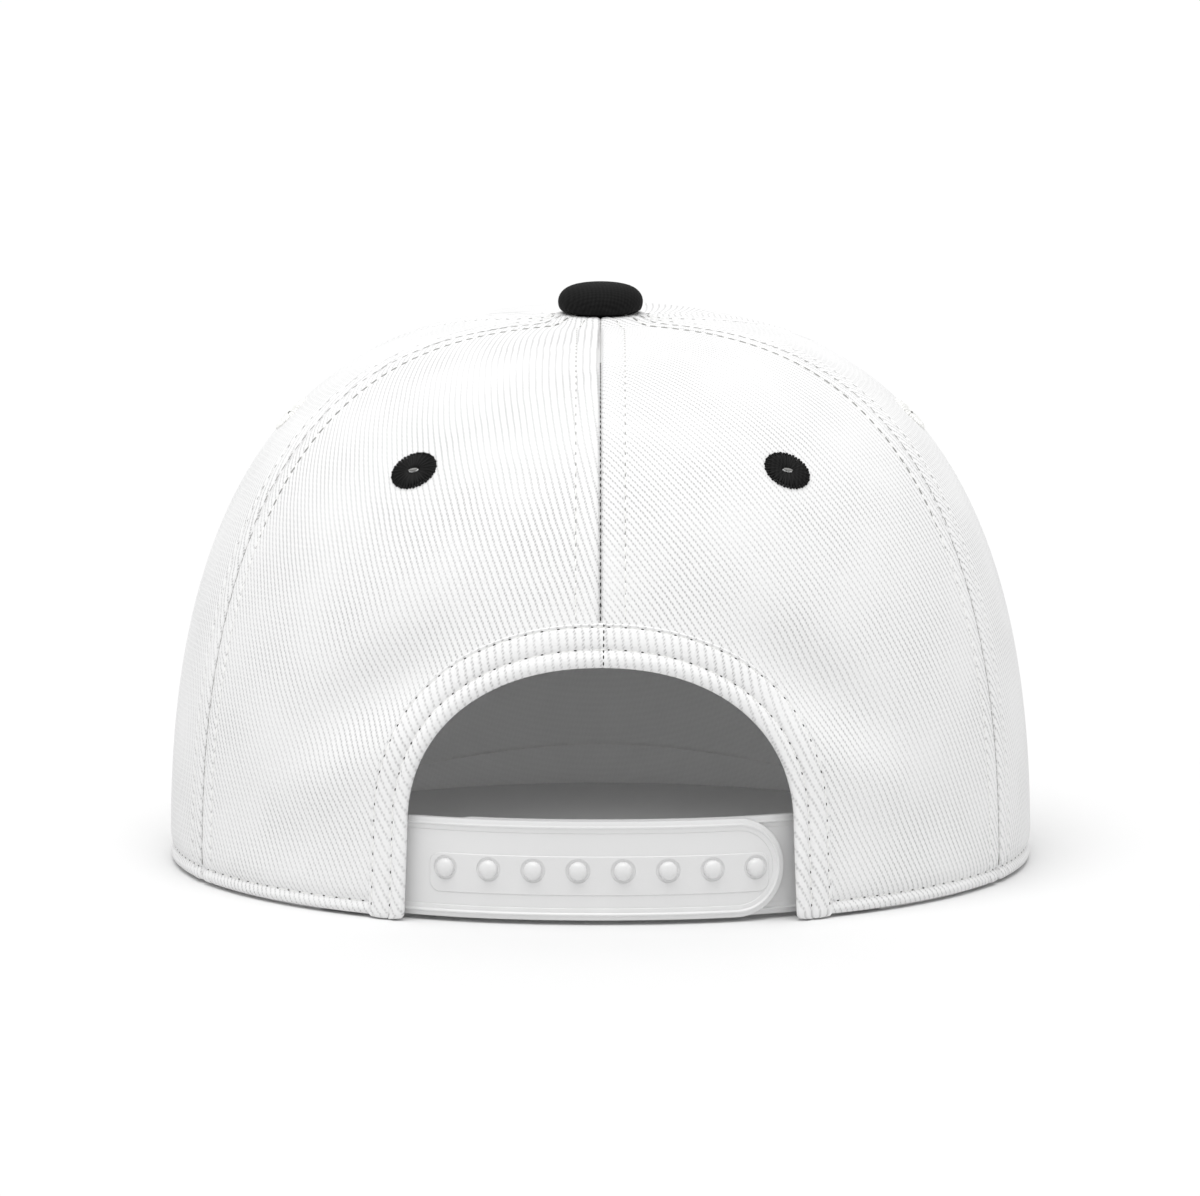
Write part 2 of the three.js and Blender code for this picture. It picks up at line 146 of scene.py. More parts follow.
# A flat grid of cloth laid on points[row, column]; rows run up and columns run towards larger azimuths
def layCloth(name, points, cloth):
    rows, columns = points.shape[:2]
    bpy.ops.mesh.primitive_grid_add(x_subdivisions=columns - 1, y_subdivisions=rows - 1)
    piece = bpy.context.object
    piece.name = name
    piece.data.vertices.foreach_set("co", toFrame(points).astype(np.float32).ravel())
    setCloth(piece.data, cloth)
    piece.data.flip_normals()
    piece.select_set(False)
    return piece


# A closed tube through rings[ring, point], with a flat cap at each end
def layTube(name, rings, cloth):
    count, around = rings.shape[:2]
    faces = []
    for j in range(count - 1):
        for i in range(around):
            a, b = j * around + i, j * around + (i + 1) % around
            faces.append((a, b, b + around, a + around))
    faces.append(tuple(reversed(range(around))))
    faces.append(tuple(range((count - 1) * around, count * around)))
    mesh = bpy.data.meshes.new(name)
    mesh.from_pydata(toFrame(rings).reshape(-1, 3), [], faces)
    setCloth(mesh, cloth)
    piece = addObject(name, mesh)
    work = bmesh.new()
    work.from_mesh(mesh)
    bmesh.ops.recalc_face_normals(work, faces=work.faces)
    work.to_mesh(mesh)
    work.free()
    return piece


# A profile spun into a closed round piece
def spinProfile(name, points, steps, centre, merge):
    mesh = bpy.data.meshes.new(name)
    mesh.from_pydata(points, [(k, k + 1) for k in range(len(points) - 1)], [])
    piece = addObject(name, mesh)
    startEdit(piece)
    bpy.ops.mesh.spin(steps=steps, angle=2 * math.pi, center=centre, axis=(0, 0, 1))
    bpy.ops.mesh.select_all(action="SELECT")
    bpy.ops.mesh.remove_doubles(threshold=merge)
    bpy.ops.mesh.normals_make_consistent(inside=False)
    endEdit()
    return piece


# Lengths run along a line of points, from 0 at its start
def runAlong(line):
    return np.concatenate([[0], np.cumsum(np.linalg.norm(np.diff(line, axis=0), axis=1))])


# A line's place, or its normal, at one run along it
def placeAlong(at, length, values):
    return np.array([np.interp(at, length, values[:, k]) for k in range(3)])


# Crown surface

crown = {
    "halfWidth": 92.7,
    "rearLength": 94,
    "frontLength": 101,
    "height": 116.5,
    "shoulderPower": 2.98,
    "roofPower": 2.41,
    "rearFullness": 0.75,
    "frontFullness": 0.72,
    "rearSeam": 66.7,
    "frontSeam": 119,
    "topHole": 3,
    "puff": (1.6, 8.2, 3.0),  # height, radius and breadth of the gathered cloth under the button
}

brimShape = {
    "length": 70,
    "halfWidth": 84,
    "thickness": 2.8,
    "rise": 5.5,
    "tip": 56,
    "tipFade": 5,
    "tipWidth": 1.5,
    "rows": 8,
    "firstRow": 7,
    "rowPitch": 6.2,
    "stitchPitch": 3.4,
    "hole": 0.22,
    "steer": (0.83, 1.12, 0.72),  # bends the rim's front corners
    "quilt": (0.22, 0.8),  # how deep and how wide the rows press into the cover
}

# azimuth, height, reach, breadth, lean, depth: hollows pressed into the cloth, and swells below zero
folds = [
    (31, 47.0, 21.0, 8.2, 36, 3.0),
    (37, 31.5, 22.1, 8.4, 35, -1.3),
    (47, 17.5, 18.6, 9.9, 12, 1.0),
]


def crownRadius(azimuth, height):
    turn = np.radians(azimuth)
    up = np.clip(height / crown["height"], 0, 1)
    share = np.maximum(1 - up ** crown["roofPower"], 1e-12) ** (1 / crown["shoulderPower"])
    across = crown["halfWidth"] * share
    rear = crown["rearLength"] * share ** crown["rearFullness"]
    front = crown["frontLength"] * share ** crown["frontFullness"]
    along = np.where(np.cos(turn) > 0, rear, front)
    return 1 / np.hypot(np.sin(turn) / across, np.cos(turn) / along)


def foldDepth(azimuth, height):
    fromRear = np.abs((azimuth + 180) % 360 - 180)
    depth = 0
    for middle, up, reach, breadth, lean, deep in folds:
        across = np.radians(fromRear - middle) * crown["rearLength"]
        rise = height - up
        turn = math.radians(lean)
        along = (across * math.cos(turn) - rise * math.sin(turn)) / reach
        over = (across * math.sin(turn) + rise * math.cos(turn)) / breadth
        depth = depth + deep * np.exp(-(along ** 2) - over ** 2)
    return depth


def brimRise(x):
    share = np.minimum(np.abs(x) / brimShape["halfWidth"], 1)
    return brimShape["rise"] * np.cos(share * np.pi / 2) ** 2.5


def rimHeight(azimuth):
    fromFront = 180 - np.abs((azimuth + 180) % 360 - 180)
    onBrim = 1 - smooth((fromFront - brimShape["tip"]) / brimShape["tipFade"])
    x = crownRadius(azimuth, 0) * np.sin(np.radians(azimuth))
    return onBrim * (brimShape["thickness"] + 0.3 + brimRise(x))


# Curves of the smooth outside in upright half-planes, one for each azimuth
def makeMeridians(azimuths, steps=420):
    share = np.sin(np.pi / 2 * np.linspace(0, 1, steps + 1))[None, :]
    low = rimHeight(azimuths)[:, None]
    up = low + (crown["height"] - low) * share
    out = crownRadius(azimuths[:, None], up) - foldDepth(azimuths[:, None], up)
    puff, radius, breadth = crown["puff"]
    up = up + puff * np.exp(-(((out - radius) / breadth) ** 2))
    step = np.hypot(np.diff(out), np.diff(up))
    run = np.concatenate([np.zeros((len(azimuths), 1)), np.cumsum(step, 1)], 1)
    half = steps // 2
    total = np.array([np.interp(-crown["topHole"], -o[half:], r[half:]) for o, r in zip(out, run)])
    return {"azimuths": azimuths, "out": out, "up": up, "run": run, "total": total}


# Radius, height and the normal's two parts at a run along each meridian
def meridiansAt(meridians, runs):
    def place(at):
        return [
            np.array([np.interp(v, r, part) for v, r, part in zip(at, meridians["run"], meridians[name])])
            for name in ("out", "up")
        ]
    out, up = place(runs)
    outLow, upLow = place(runs - 0.6)
    outHigh, upHigh = place(runs + 0.6)
    size = np.hypot(outHigh - outLow, upHigh - upLow)
    return out, up, (upHigh - upLow) / size, (outLow - outHigh) / size


def roundAxis(out, up, azimuth):
    turn = np.radians(azimuth)
    return np.stack([out * np.sin(turn), out * np.cos(turn), up + 0 * out], -1)


# Point of the smooth outside at single azimuths and heights, and the way out of it
def surfaceAt(azimuth, height):
    azimuth, height = np.broadcast_arrays(np.asarray(azimuth, float), np.asarray(height, float))

    def place(a, h):
        return roundAxis(crownRadius(a, h) - foldDepth(a, h), h, a)
    across = place(azimuth + 0.4, height) - place(azimuth - 0.4, height)
    up = place(azimuth, height + 0.4) - place(azimuth, np.maximum(height - 0.4, 0))
    normal = np.cross(up, across)
    return place(azimuth, height), normal / np.linalg.norm(normal, axis=-1, keepdims=True)


# Panels

panelCloth = {
    "wall": 0.7,
    "meridians": 150,
    "edgeDistances": [0, 0.25, 0.55, 1, 1.8, 3, 4.2, 4.75, 5.2, 5.65, 6.3, 7.5],  # from the seam
    "edgeRelief": [-1.3, -0.75, -0.3, 0.0, 0.16, 0.2, 0.15, 0.0, -0.22, -0.04, 0.06, 0.02],
    "calmReach": 26,  # the seams lie flatter this near the button
    "stitchColumn": 8,
    # outward, up: the folded hem from its inside edge round under the rim
    "hem": [
        (-2.35, 13), (-2.35, 8), (-2.35, 4), (-2.35, 2.2), (-2.25, 1.2), (-1.95, 0.85), (-1.5, 0.7),
        (-1.05, 0.68), (-0.65, 0.78), (-0.32, 1.05), (-0.12, 1.55), (-0.1, 2.05), (-0.28, 2.6), (-0.6, 3.05),
        (-0.95, 3.4), (-0.62, 3.8), (-0.3, 4.5), (-0.1, 5.5), (0, 7),
    ],
    "hemStitchRow": 14,
    "rowStep": 1.7,
    "puff": 0.07,  # how much the cloth wavers along its seams
}

panels = {
    "rear": {"from": 0, "to": crown["rearSeam"], "middleColumns": 44},
    "side": {"from": crown["rearSeam"], "to": crown["frontSeam"], "middleColumns": 34},
    "front": {"from": crown["frontSeam"], "to": 180, "middleColumns": 40},
}


# A panel's grid of points, normals and cloth, with rows from the hem's inside edge up to the button
def panelGrid(start, end, middleColumns):
    count = panelCloth["meridians"]
    meridians = makeMeridians(np.linspace(start, end, count))
    topRun = meridians["total"].mean()
    hem = np.array(panelCloth["hem"])
    hemTop = hem[-1, 1]
    wallRows = int(round((topRun - hemTop) / panelCloth["rowStep"]))
    edge = np.array(panelCloth["edgeDistances"])
    relief = np.array(panelCloth["edgeRelief"])
    hemLength = runAlong(hem)
    rows = [(np.zeros(count) + up, outward) for outward, up in hem]
    for share in np.linspace(0, 1, wallRows + 1)[1:]:
        rows.append((hemTop + (meridians["total"] - hemTop) * share, 0))
    points, normals, cloth = [], [], []
    for j, (runs, outward) in enumerate(rows):
        out, up, normalOut, normalUp = meridiansAt(meridians, runs)
        line = roundAxis(out, up, meridians["azimuths"])
        length = runAlong(line)
        width = length[-1]
        fit = min(1, width / (2.3 * edge[-1]))
        middle = np.linspace(edge[-1] * fit, width - edge[-1] * fit, middleColumns + 2)[1:-1]
        distance = np.concatenate([edge * fit, middle, width - edge[::-1] * fit])
        lift = np.concatenate([relief, np.zeros(middleColumns), relief[::-1]]) * (0.35 + 0.65 * fit)
        azimuth = np.interp(distance, length, meridians["azimuths"])
        runHere = np.interp(azimuth, meridians["azimuths"], runs)
        waver = np.sin(runHere * 1.9 + start) * np.sin(runHere * 0.53) * panelCloth["puff"]
        beside = np.concatenate([edge < 5, np.zeros(middleColumns, bool), edge[::-1] < 5]) * waver
        if j >= len(hem) - 1:
            lift = lift + beside

        def place(values):
            return np.interp(azimuth, meridians["azimuths"], values)
        calm = 0.4 + 0.6 * smooth((topRun - runs.mean()) / panelCloth["calmReach"])
        lift = lift * (calm if outward > -2 else 0.2) + outward
        position = roundAxis(
            place(out) + lift * place(normalOut), place(up) + lift * place(normalUp), azimuth
        )
        points.append(position)
        normals.append(roundAxis(place(normalOut), place(normalUp), azimuth))
        v = hemLength[j] - hemLength[-1] + hemTop if j < len(hem) else runHere
        cloth.append(np.stack([distance - width / 2, v + 0 * distance], -1))
    return np.array(points), np.array(normals), np.array(cloth)


# Rear opening

arch = {
    "halfWidth": 40.5,
    "footHalfWidth": 41.2,
    "spring": 20,
    "height": 54.5,
    "power": 2.15,
    "sideForeshortening": 0.82,
    "footShare": 0.14,  # of the outline's length, on each upright side
    "cutMargin": 3.2,  # the panels end under the edging
    # margin from the edge, outward: once round the edging's section
    "section": [
        (9.25, -0.5), (9.2, 0.1), (9.0, 0.42), (8.75, 0.4), (8.5, 0.12), (8.2, 0.4), (7.6, 0.6),
        (6.3, 0.72), (5.1, 0.68), (4.35, 0.45), (3.85, 0.02), (3.4, 0.45), (2.7, 0.86), (1.8, 1.0),
        (1.0, 0.82), (0.42, 0.4), (0.1, -0.2), (0, -0.95), (0.12, -1.7), (0.5, -2.3), (1.2, -2.65),
        (2.5, -2.75), (5.5, -2.7), (8.8, -2.6), (9.2, -2.2),
    ],
    "outerStitch": 4,
    "innerStitch": 10,
    "stitchPitch": 3.5,
    "seamGroove": (0.55, 0.42),  # breadth and depth of the crown's seam where the edging bends over it
    "outside": slice(1, 17),  # the section's points on the outside
    "uprightFrom": 47,  # above this height the ribs stand nearly upright
}


# Half width of the opening below its spring, from a share of 0 at the rim to 1 at the spring
def footWidth(share):
    return arch["footHalfWidth"] + (arch["halfWidth"] - arch["footHalfWidth"]) * share


# The opening's outline seen from behind, grown by a margin; travel runs from 0 at one foot to 1 at the other
def archOutline(travel, margin):
    margin = np.asarray(margin, float)
    side = margin * arch["sideForeshortening"]
    rise = arch["height"] - arch["spring"] + margin
    foot = arch["footShare"]
    turn = np.pi * np.clip((travel - foot) / (1 - 2 * foot), 0, 1)
    across = np.sign(np.cos(turn)) * np.abs(np.cos(turn)) ** (2 / arch["power"])
    up = np.abs(np.sin(turn)) ** (2 / arch["power"])
    x = (arch["halfWidth"] + side) * across
    z = arch["spring"] + rise * up
    low = np.minimum(travel, 1 - travel) / foot  # 0 at the rim, 1 at the spring
    onFoot = low < 1
    footX = (footWidth(low) + side) * np.sign(0.5 - travel)
    return np.where(onFoot, footX, x), np.where(onFoot, arch["spring"] * low, z)


# How far outside the opening's edge a point is, as seen from behind
def archMargin(x, z):
    x = np.abs(x)
    beside = (x - footWidth(np.clip(z / arch["spring"], 0, 1))) / arch["sideForeshortening"]
    low, high = np.zeros(x.shape) - 30, np.zeros(x.shape) + 90
    for _ in range(40):
        middle = (low + high) / 2
        reach = arch["halfWidth"] + middle * arch["sideForeshortening"]
        rise = np.maximum(arch["height"] - arch["spring"] + middle, 1)
        value = (x / reach) ** arch["power"] + (np.maximum(z - arch["spring"], 0) / rise) ** arch["power"]
        outside = value > 1
        low, high = np.where(outside, middle, low), np.where(outside, high, middle)
    return np.where(z < arch["spring"], beside, (low + high) / 2)


# The crown's rear seen from behind: the azimuth where it passes a place
def azimuthBehind(x, z):
    azimuth = np.degrees(np.arcsin(np.clip(x / crown["rearLength"], -0.95, 0.95)))
    for _ in range(30):
        radius = crownRadius(azimuth, z) - foldDepth(azimuth, z)
        azimuth = np.degrees(np.arcsin(np.clip(x / radius, -0.97, 0.97)))
    return azimuth


# How far back the crown's rear lies at a place seen from behind
def depthBehind(x, z):
    place, _normal = surfaceAt(azimuthBehind(np.array(x), np.array(z)), z)
    return place[1]


def cutForArch(piece):
    work = bmesh.new()
    work.from_mesh(piece.data)

    def insideArch():
        place = np.array([v.co for v in work.verts]) / mm
        return archMargin(place[:, 0], place[:, 2]) < arch["cutMargin"]
    inside = insideArch()
    gone = [f for f in work.faces if all(inside[v.index] for v in f.verts)]
    bmesh.ops.delete(work, geom=gone, context="FACES")
    work.verts.index_update()
    inside = insideArch()
    for vert in work.verts:  # the ragged edge is drawn onto the cut line
        if not inside[vert.index]:
            continue
        point = vert.co / mm
        for _ in range(6):
            x, z = point.x, point.z
            here = archMargin(np.array([x, x + 0.05, x]), np.array([z, z, z + 0.05]))
            slope = np.array([here[1] - here[0], here[2] - here[0]]) / 0.05
            shift = (arch["cutMargin"] - here[0]) * slope / max(slope @ slope, 0.2)
            point = point + Vector((shift[0], 0, shift[1]))
        back = depthBehind(point.x, point.z) - depthBehind(vert.co.x / mm, vert.co.z / mm)
        vert.co = Vector((point.x, point.y + back, max(point.z, 0.05))) * mm
    work.to_mesh(piece.data)
    work.free()


# Thread

thread = {
    "pitch": 3.55,
    "length": 3.05,
    "width": 0.38,
    "lift": 0.03,
    # hole and holeDepth: size of the dark beads of painted shade in the needle holes
    "hole": 0.5,
    "holeDepth": 0.34,
    "rowHole": 0.3,  # the rows beside the seams show as long faint dashes of painted shade
    "rowStretch": 5,
    "rowTop": 6.5,  # they end this far from the middle of the button
    "rowFaint": 0.45,
    "rowClear": {"outer": 0.75, "other": 0.15},  # how much clearer they are high up
    "seamPitch": 1.45,  # the seams' own stitches show as short dark dashes of painted shade down in the join
    "seamDash": (0.95, 0.3, 0.3),
    "sideSeamDash": (1.5, 0.22, 0.3),
    "highDash": (1.8, 0.2, 0.16),  # raised where the crown turns to its top
    "highPitch": 2.6,
    "high": 76,
    "seamDepth": 0.42,
    "seamStart": 46,  # behind the crown's axis
    "roofDash": (1.5, 0.1, 0.3),  # nearer the button the seam is only a faint line
}


def modelStitch():
    bpy.ops.mesh.primitive_uv_sphere_add(segments=8, ring_count=6, radius=0.5)
    stitch = bpy.context.object
    startEdit(stitch)
    bpy.ops.transform.rotate(value=math.pi / 2, orient_axis="Y", center_override=(0, 0, 0))
    endEdit()
    shape = stitch.data.copy()
    bpy.data.objects.remove(stitch)
    return shape


stitchShape = modelStitch()
stitchPoints = np.array([v.co for v in stitchShape.vertices])
stitchFaces = [tuple(p.vertices) for p in stitchShape.polygons]


# Copies of the one stitch on frames of place, along and out, each with its size
def layStitches(name, frames, material, slot):
    points, faces = [], []
    for place, along, out, size in frames:
        along = along / np.linalg.norm(along)
        side = np.cross(out, along)
        side = side / np.linalg.norm(side)
        turned = np.stack([along, side, np.cross(along, side)])
        faces.extend(tuple(k + len(points) * len(stitchPoints) for k in face) for face in stitchFaces)
        points.append((stitchPoints * size) @ turned + place)
    mesh = bpy.data.meshes.new(name)
    mesh.from_pydata(toFrame(np.concatenate(points)), [], faces)
    piece = addObject(name, mesh)
    finishPiece(piece, material, slot, degrees=80)
    return piece


# Even stitches along a line on the cloth, and dark beads of painted shade at the needle holes between them
def stitchLine(line, normals, pitch=thread["pitch"], hole=thread["hole"], stretch=1.25):
    length = runAlong(line)
    count = max(1, int(round(length[-1] / pitch)))
    ends = np.linspace(0, length[-1], count + 1)
    stitchLength = length[-1] / count * thread["length"] / thread["pitch"]
    size = np.array([stitchLength, thread["width"], thread["width"] * 0.9])
    made, between = [], []
    for start, end in zip(ends[:-1], ends[1:]):
        a, b = placeAlong(start, length, line), placeAlong(end, length, line)
        out = placeAlong((start + end) / 2, length, normals)
        made.append(((a + b) / 2 + out * thread["lift"], b - a, out, size))
    size = np.array([hole * stretch, hole, thread["holeDepth"]])
    for at in ends:
        before, after = max(at - 0.5, 0), min(at + 0.5, length[-1])
        along = placeAlong(after, length, line) - placeAlong(before, length, line)
        between.append((placeAlong(at, length, line), along, placeAlong(at, length, normals), size))
    return made, between


def sewCrown(line, normals, *settings):
    made, between = stitchLine(line, normals, *settings)
    stitches.extend(made)
    shadeMarks.extend(between)


# Short dashes of shade down in a seam
def seamDashes(line, normals, dash, pitch=thread["seamPitch"]):
    length = runAlong(line)
    frames = []
    for at in np.arange(pitch / 2, length[-1], pitch):
        place = placeAlong(at, length, line)
        along = placeAlong(at + 0.3, length, line) - place
        size = np.array(dash) * (1 + 0.15 * math.sin(at * 2.3), 1, 1)
        frames.append((place, along, placeAlong(at, length, normals), size))
    return frames


# Materials


# Cotton twill: slanted ribs of bleached yarn, matt, with the cross yarns staggered in the gaps, and painted
# shade darkening the gaps
def makeTwill(name, rib=1.3, slant=29, light="#ededed", dark="#bababa", relief=0.1):
    material, tree, shader = newMaterial(name)
    cloth = addNode(tree, "UVMap", uv_map="cloth").outputs["UV"]
    drift = addNode(tree, "TexNoise", {"Vector": cloth, "Scale": 90, "Detail": 2})
    bent = addNode(
        tree, "VectorMath", {0: drift.outputs["Color"], 1: (0.0007, 0.0007, 0)}, operation="MULTIPLY"
    )
    moved = addNode(tree, "VectorMath", {0: cloth, 1: bent}, operation="ADD")
    turned = addNode(tree, "Mapping", {
        "Vector": moved,
        "Rotation": (0, 0, math.radians(slant)),
        "Scale": (1 / (rib * mm),) * 3,
    })
    parts = addNode(tree, "SeparateXYZ", {"Vector": turned})
    sway = addNode(
        tree, "Math", {0: parts.outputs["X"], 1: 0.5, 2: parts.outputs["Y"]}, operation="MULTIPLY_ADD"
    )
    sway = addNode(tree, "Math", {0: sway, 1: 2 * math.pi}, operation="MULTIPLY")
    sway = addNode(tree, "Math", {0: sway}, operation="SINE")
    across = addNode(tree, "Math", {0: sway, 1: 0.045, 2: parts.outputs["X"]}, operation="MULTIPLY_ADD")
    across = addNode(tree, "Math", {0: across, 1: 2 * math.pi}, operation="MULTIPLY")
    across = addNode(tree, "Math", {0: across}, operation="SINE")
    gap = addNode(tree, "MapRange", {"Value": across, "From Min": 0.25, "From Max": 0.95}, clamp=True)
    pip = addNode(tree, "Math", {0: sway, 1: sway}, operation="MULTIPLY")
    pip = addNode(tree, "Math", {0: pip, 1: 0.75, 2: 0.25}, operation="MULTIPLY_ADD")
    gap = addNode(tree, "Math", {0: gap, 1: pip}, operation="MULTIPLY")
    # The gaps, with their painted shade, are broken up at random
    gapBreakup = addNode(tree, "TexNoise", {"Vector": cloth, "Scale": 45, "Detail": 3})
    gapBreakup = addNode(tree, "MapRange", {"Value": gapBreakup, "From Min": 0.35, "From Max": 0.62, "To Min": 0.5})
    gap = addNode(tree, "Math", {0: gap, 1: gapBreakup}, operation="MULTIPLY")
    fuzz = addNode(tree, "TexNoise", {"Vector": cloth, "Scale": 1700, "Detail": 2})
    fuzz = addNode(tree, "Math", {0: fuzz, 1: 0.35, 2: -0.12}, operation="MULTIPLY_ADD")
    depth = addNode(tree, "Math", {0: gap, 1: fuzz}, operation="ADD")
    bump = addNode(tree, "Bump", {"Height": depth, "Strength": 1.0, "Distance": relief * mm}, invert=True)
    # Painted shade: the gaps are darker in colour as well as sunk by the bump
    colour = addNode(tree, "Mix", {"Factor": depth, 6: light, 7: dark}, data_type="RGBA")
    setInputs(shader, {
        "Base Color": colour.outputs[2],
        "Normal": bump,
        "Roughness": 0.92,
        "Specular IOR Level": 0.25,
        "Sheen Weight": 0.08,
        "Sheen Roughness": 0.5,
    })
    return material


# Spun sewing thread: two plies that wind round each other, a little silky
def makeThread(name, colour, shade, roughness=0.55, shine=0.3):
    material, tree, shader = newMaterial(name)
    place = addNode(tree, "TexCoord").outputs["Object"]
    ply = addNode(tree, "TexWave", {
        "Vector": place, "Scale": 420.0, "Distortion": 2.0, "Detail": 1.0
    }, bands_direction="DIAGONAL")
    mixed = addNode(tree, "Mix", {"Factor": ply.outputs["Fac"], 6: shade, 7: colour}, data_type="RGBA")
    bump = addNode(tree, "Bump", {"Height": ply.outputs["Fac"], "Strength": 0.6, "Distance": 0.06 * mm})
    setInputs(shader, {
        "Base Color": mixed.outputs[2],
        "Normal": bump,
        "Roughness": roughness,
        "Specular IOR Level": shine,
    })
    return material


# Plain-woven cotton cloth: fine crossing yarns about 0.6 mm apart, on the piece's own place in space
def makePlainWeave(name, light, dark, yarn=0.6, roughness=0.9, shine=0.3, sheen=0.1):
    material, tree, shader = newMaterial(name)
    place = addNode(tree, "TexCoord").outputs["Object"]
    turned = addNode(tree, "Mapping", {
        "Vector": place, "Rotation": (0.7, 0.35, 0.78), "Scale": (math.pi / (yarn * mm),) * 3
    })
    waves = addNode(tree, "VectorMath", {0: turned}, operation="SINE")
    parts = addNode(tree, "SeparateXYZ", {"Vector": waves})
    cross = addNode(tree, "Math", {0: parts.outputs["X"], 1: parts.outputs["Y"]}, operation="MULTIPLY")
    fuzz = addNode(tree, "TexNoise", {"Vector": place, "Scale": 1500, "Detail": 2})
    height = addNode(tree, "Math", {0: cross, 1: 0.5, 2: fuzz}, operation="MULTIPLY_ADD")
    tone = addNode(tree, "MapRange", {"Value": height, "From Min": 0.1}, clamp=True)
    mixed = addNode(tree, "Mix", {"Factor": tone, 6: dark, 7: light}, data_type="RGBA")
    bump = addNode(tree, "Bump", {"Height": height, "Strength": 0.5, "Distance": 0.06 * mm})
    setInputs(shader, {
        "Base Color": mixed.outputs[2],
        "Normal": bump,
        "Roughness": roughness,
        "Specular IOR Level": shine,
        "Sheen Weight": sheen,
    })
    return material


# Injection-moulded polyethylene, translucent white with a satin skin and faint mould marks
def makeStrapPlastic():
    material, tree, shader = newMaterial("satin_polyethylene")
    place = addNode(tree, "TexCoord").outputs["Object"]
    cloud = addNode(tree, "TexNoise", {"Vector": place, "Scale": 60, "Detail": 3})
    grain = addNode(tree, "TexNoise", {"Vector": place, "Scale": 2600, "Detail": 2})
    mixed = addNode(tree, "Mix", {"Factor": cloud, 6: "#dcdcdc", 7: "#e1e1e1"}, data_type="RGBA")
    bump = addNode(tree, "Bump", {"Height": grain, "Strength": 0.25, "Distance": 0.03 * mm})
    rough = addNode(tree, "MapRange", {"Value": cloud, "To Min": 0.32, "To Max": 0.38})
    setInputs(shader, {
        "Base Color": mixed.outputs[2],
        "Normal": bump,
        "Roughness": rough,
        "IOR": 1.51,
        "Subsurface Weight": 0.1,
        "Subsurface Radius": (1, 1, 1),
        "Subsurface Scale": 0.0006,
    })
    return material


# Shade down in needle holes, slits and seams: uneven, with no shine
def makeHoleShade(name, dark, light):
    material, tree, shader = newMaterial(name)
    place = addNode(tree, "TexCoord").outputs["Object"]
    depth = addNode(tree, "TexNoise", {"Vector": place, "Scale": 800})
    mixed = addNode(tree, "Mix", {"Factor": depth, 6: dark, 7: light}, data_type="RGBA")
    setInputs(shader, {"Base Color": mixed.outputs[2], "Roughness": 1.0, "Specular IOR Level": 0.0})
    return material


# The dark tone of each twill is painted shade in its rib gaps
crownTwill = makeTwill("white_cotton_twill")
edgingTwill = makeTwill("white_twill_edging", rib=1.5, slant=27, dark="#c6c6c6", relief=0.12)
brimTwill = makeTwill("white_brim_twill", slant=45)
whiteThread = makeThread("white_cotton_thread", "#f6f6f4", "#e4e4e2")
blackThread = makeThread("black_rayon_thread", "#1b1b1b", "#101010", 0.6, 0.14)
bandCotton = makePlainWeave("white_band_cotton", "#f4f4f4", "#efefef")
buttonCotton = makePlainWeave("black_button_cotton", "#1a1a1a", "#0e0e0e", 0.55, 0.85, 0.14, 0)
strapPlastic = makeStrapPlastic()
needleShade = makeHoleShade("needle_hole_shade", "#222222", "#555554")
slitShade = makeHoleShade("eyelet_slit_shade", "#7c7c7a", "#969694")
seamShade = makeHoleShade("seam_shade", "#8a8a88", "#aaaaa8")
print("materials are made")


# Crown panels

# Dark marks of painted shade are gathered here for the needle holes, the seam joins and the rows beside the
# seams
stitches, shadeMarks, sideDashes = [], [], []
column, firstRow = panelCloth["stitchColumn"], panelCloth["hemStitchRow"]
for side, sign in (("left", 1), ("right", -1)):
    for name, row in panels.items():
        ends = sorted((sign * row["from"], sign * row["to"]))
        points, normals, cloth = panelGrid(*ends, row["middleColumns"])
        piece = layCloth(f"{name}_panel_{side}_cloth", points, cloth)
        if name == "rear":
            cutForArch(piece)
        wall = panelCloth["wall"] * mm
        applyModifier(piece, "SOLIDIFY", thickness=wall, offset=-1, use_quality_normals=True)
        finishPiece(piece, crownTwill, "crown_twill", f"{name}_panel_{side}")
        for index in (column, points.shape[1] - 1 - column):
            line, out = points[firstRow:, index], normals[firstRow:, index]
            keep = np.linalg.norm(line[:, :2], axis=1) > thread["rowTop"]
            centre = abs(line[0, 0]) < 15  # beside the rear or front centre seam
            if name == "rear" and centre:
                keep &= line[:, 2] > arch["height"] + 10
            made, between = stitchLine(
                line[keep], out[keep], thread["highPitch"], thread["rowHole"], thread["rowStretch"]
            )
            stitches.extend(made)
            clear = thread["rowClear"]["outer" if name == "rear" and not centre else "other"]
            # The dashes of painted shade grow and stand out higher where the crown turns to its top
            for place, along, normal, size in between:
                high = float(smooth((place[2] - thread["high"] + 8) / 16))
                grow = thread["rowFaint"] + clear * high
                sideDashes.append((place + normal * 0.12 * high, along, normal, size * grow))
        line, out = points[firstRow], normals[firstRow]
        if name == "rear":
            keep = archMargin(line[:, 0], line[:, 2]) > 9.4  # up to the edging
            line, out = line[keep], out[keep]
        sewCrown(line, out)

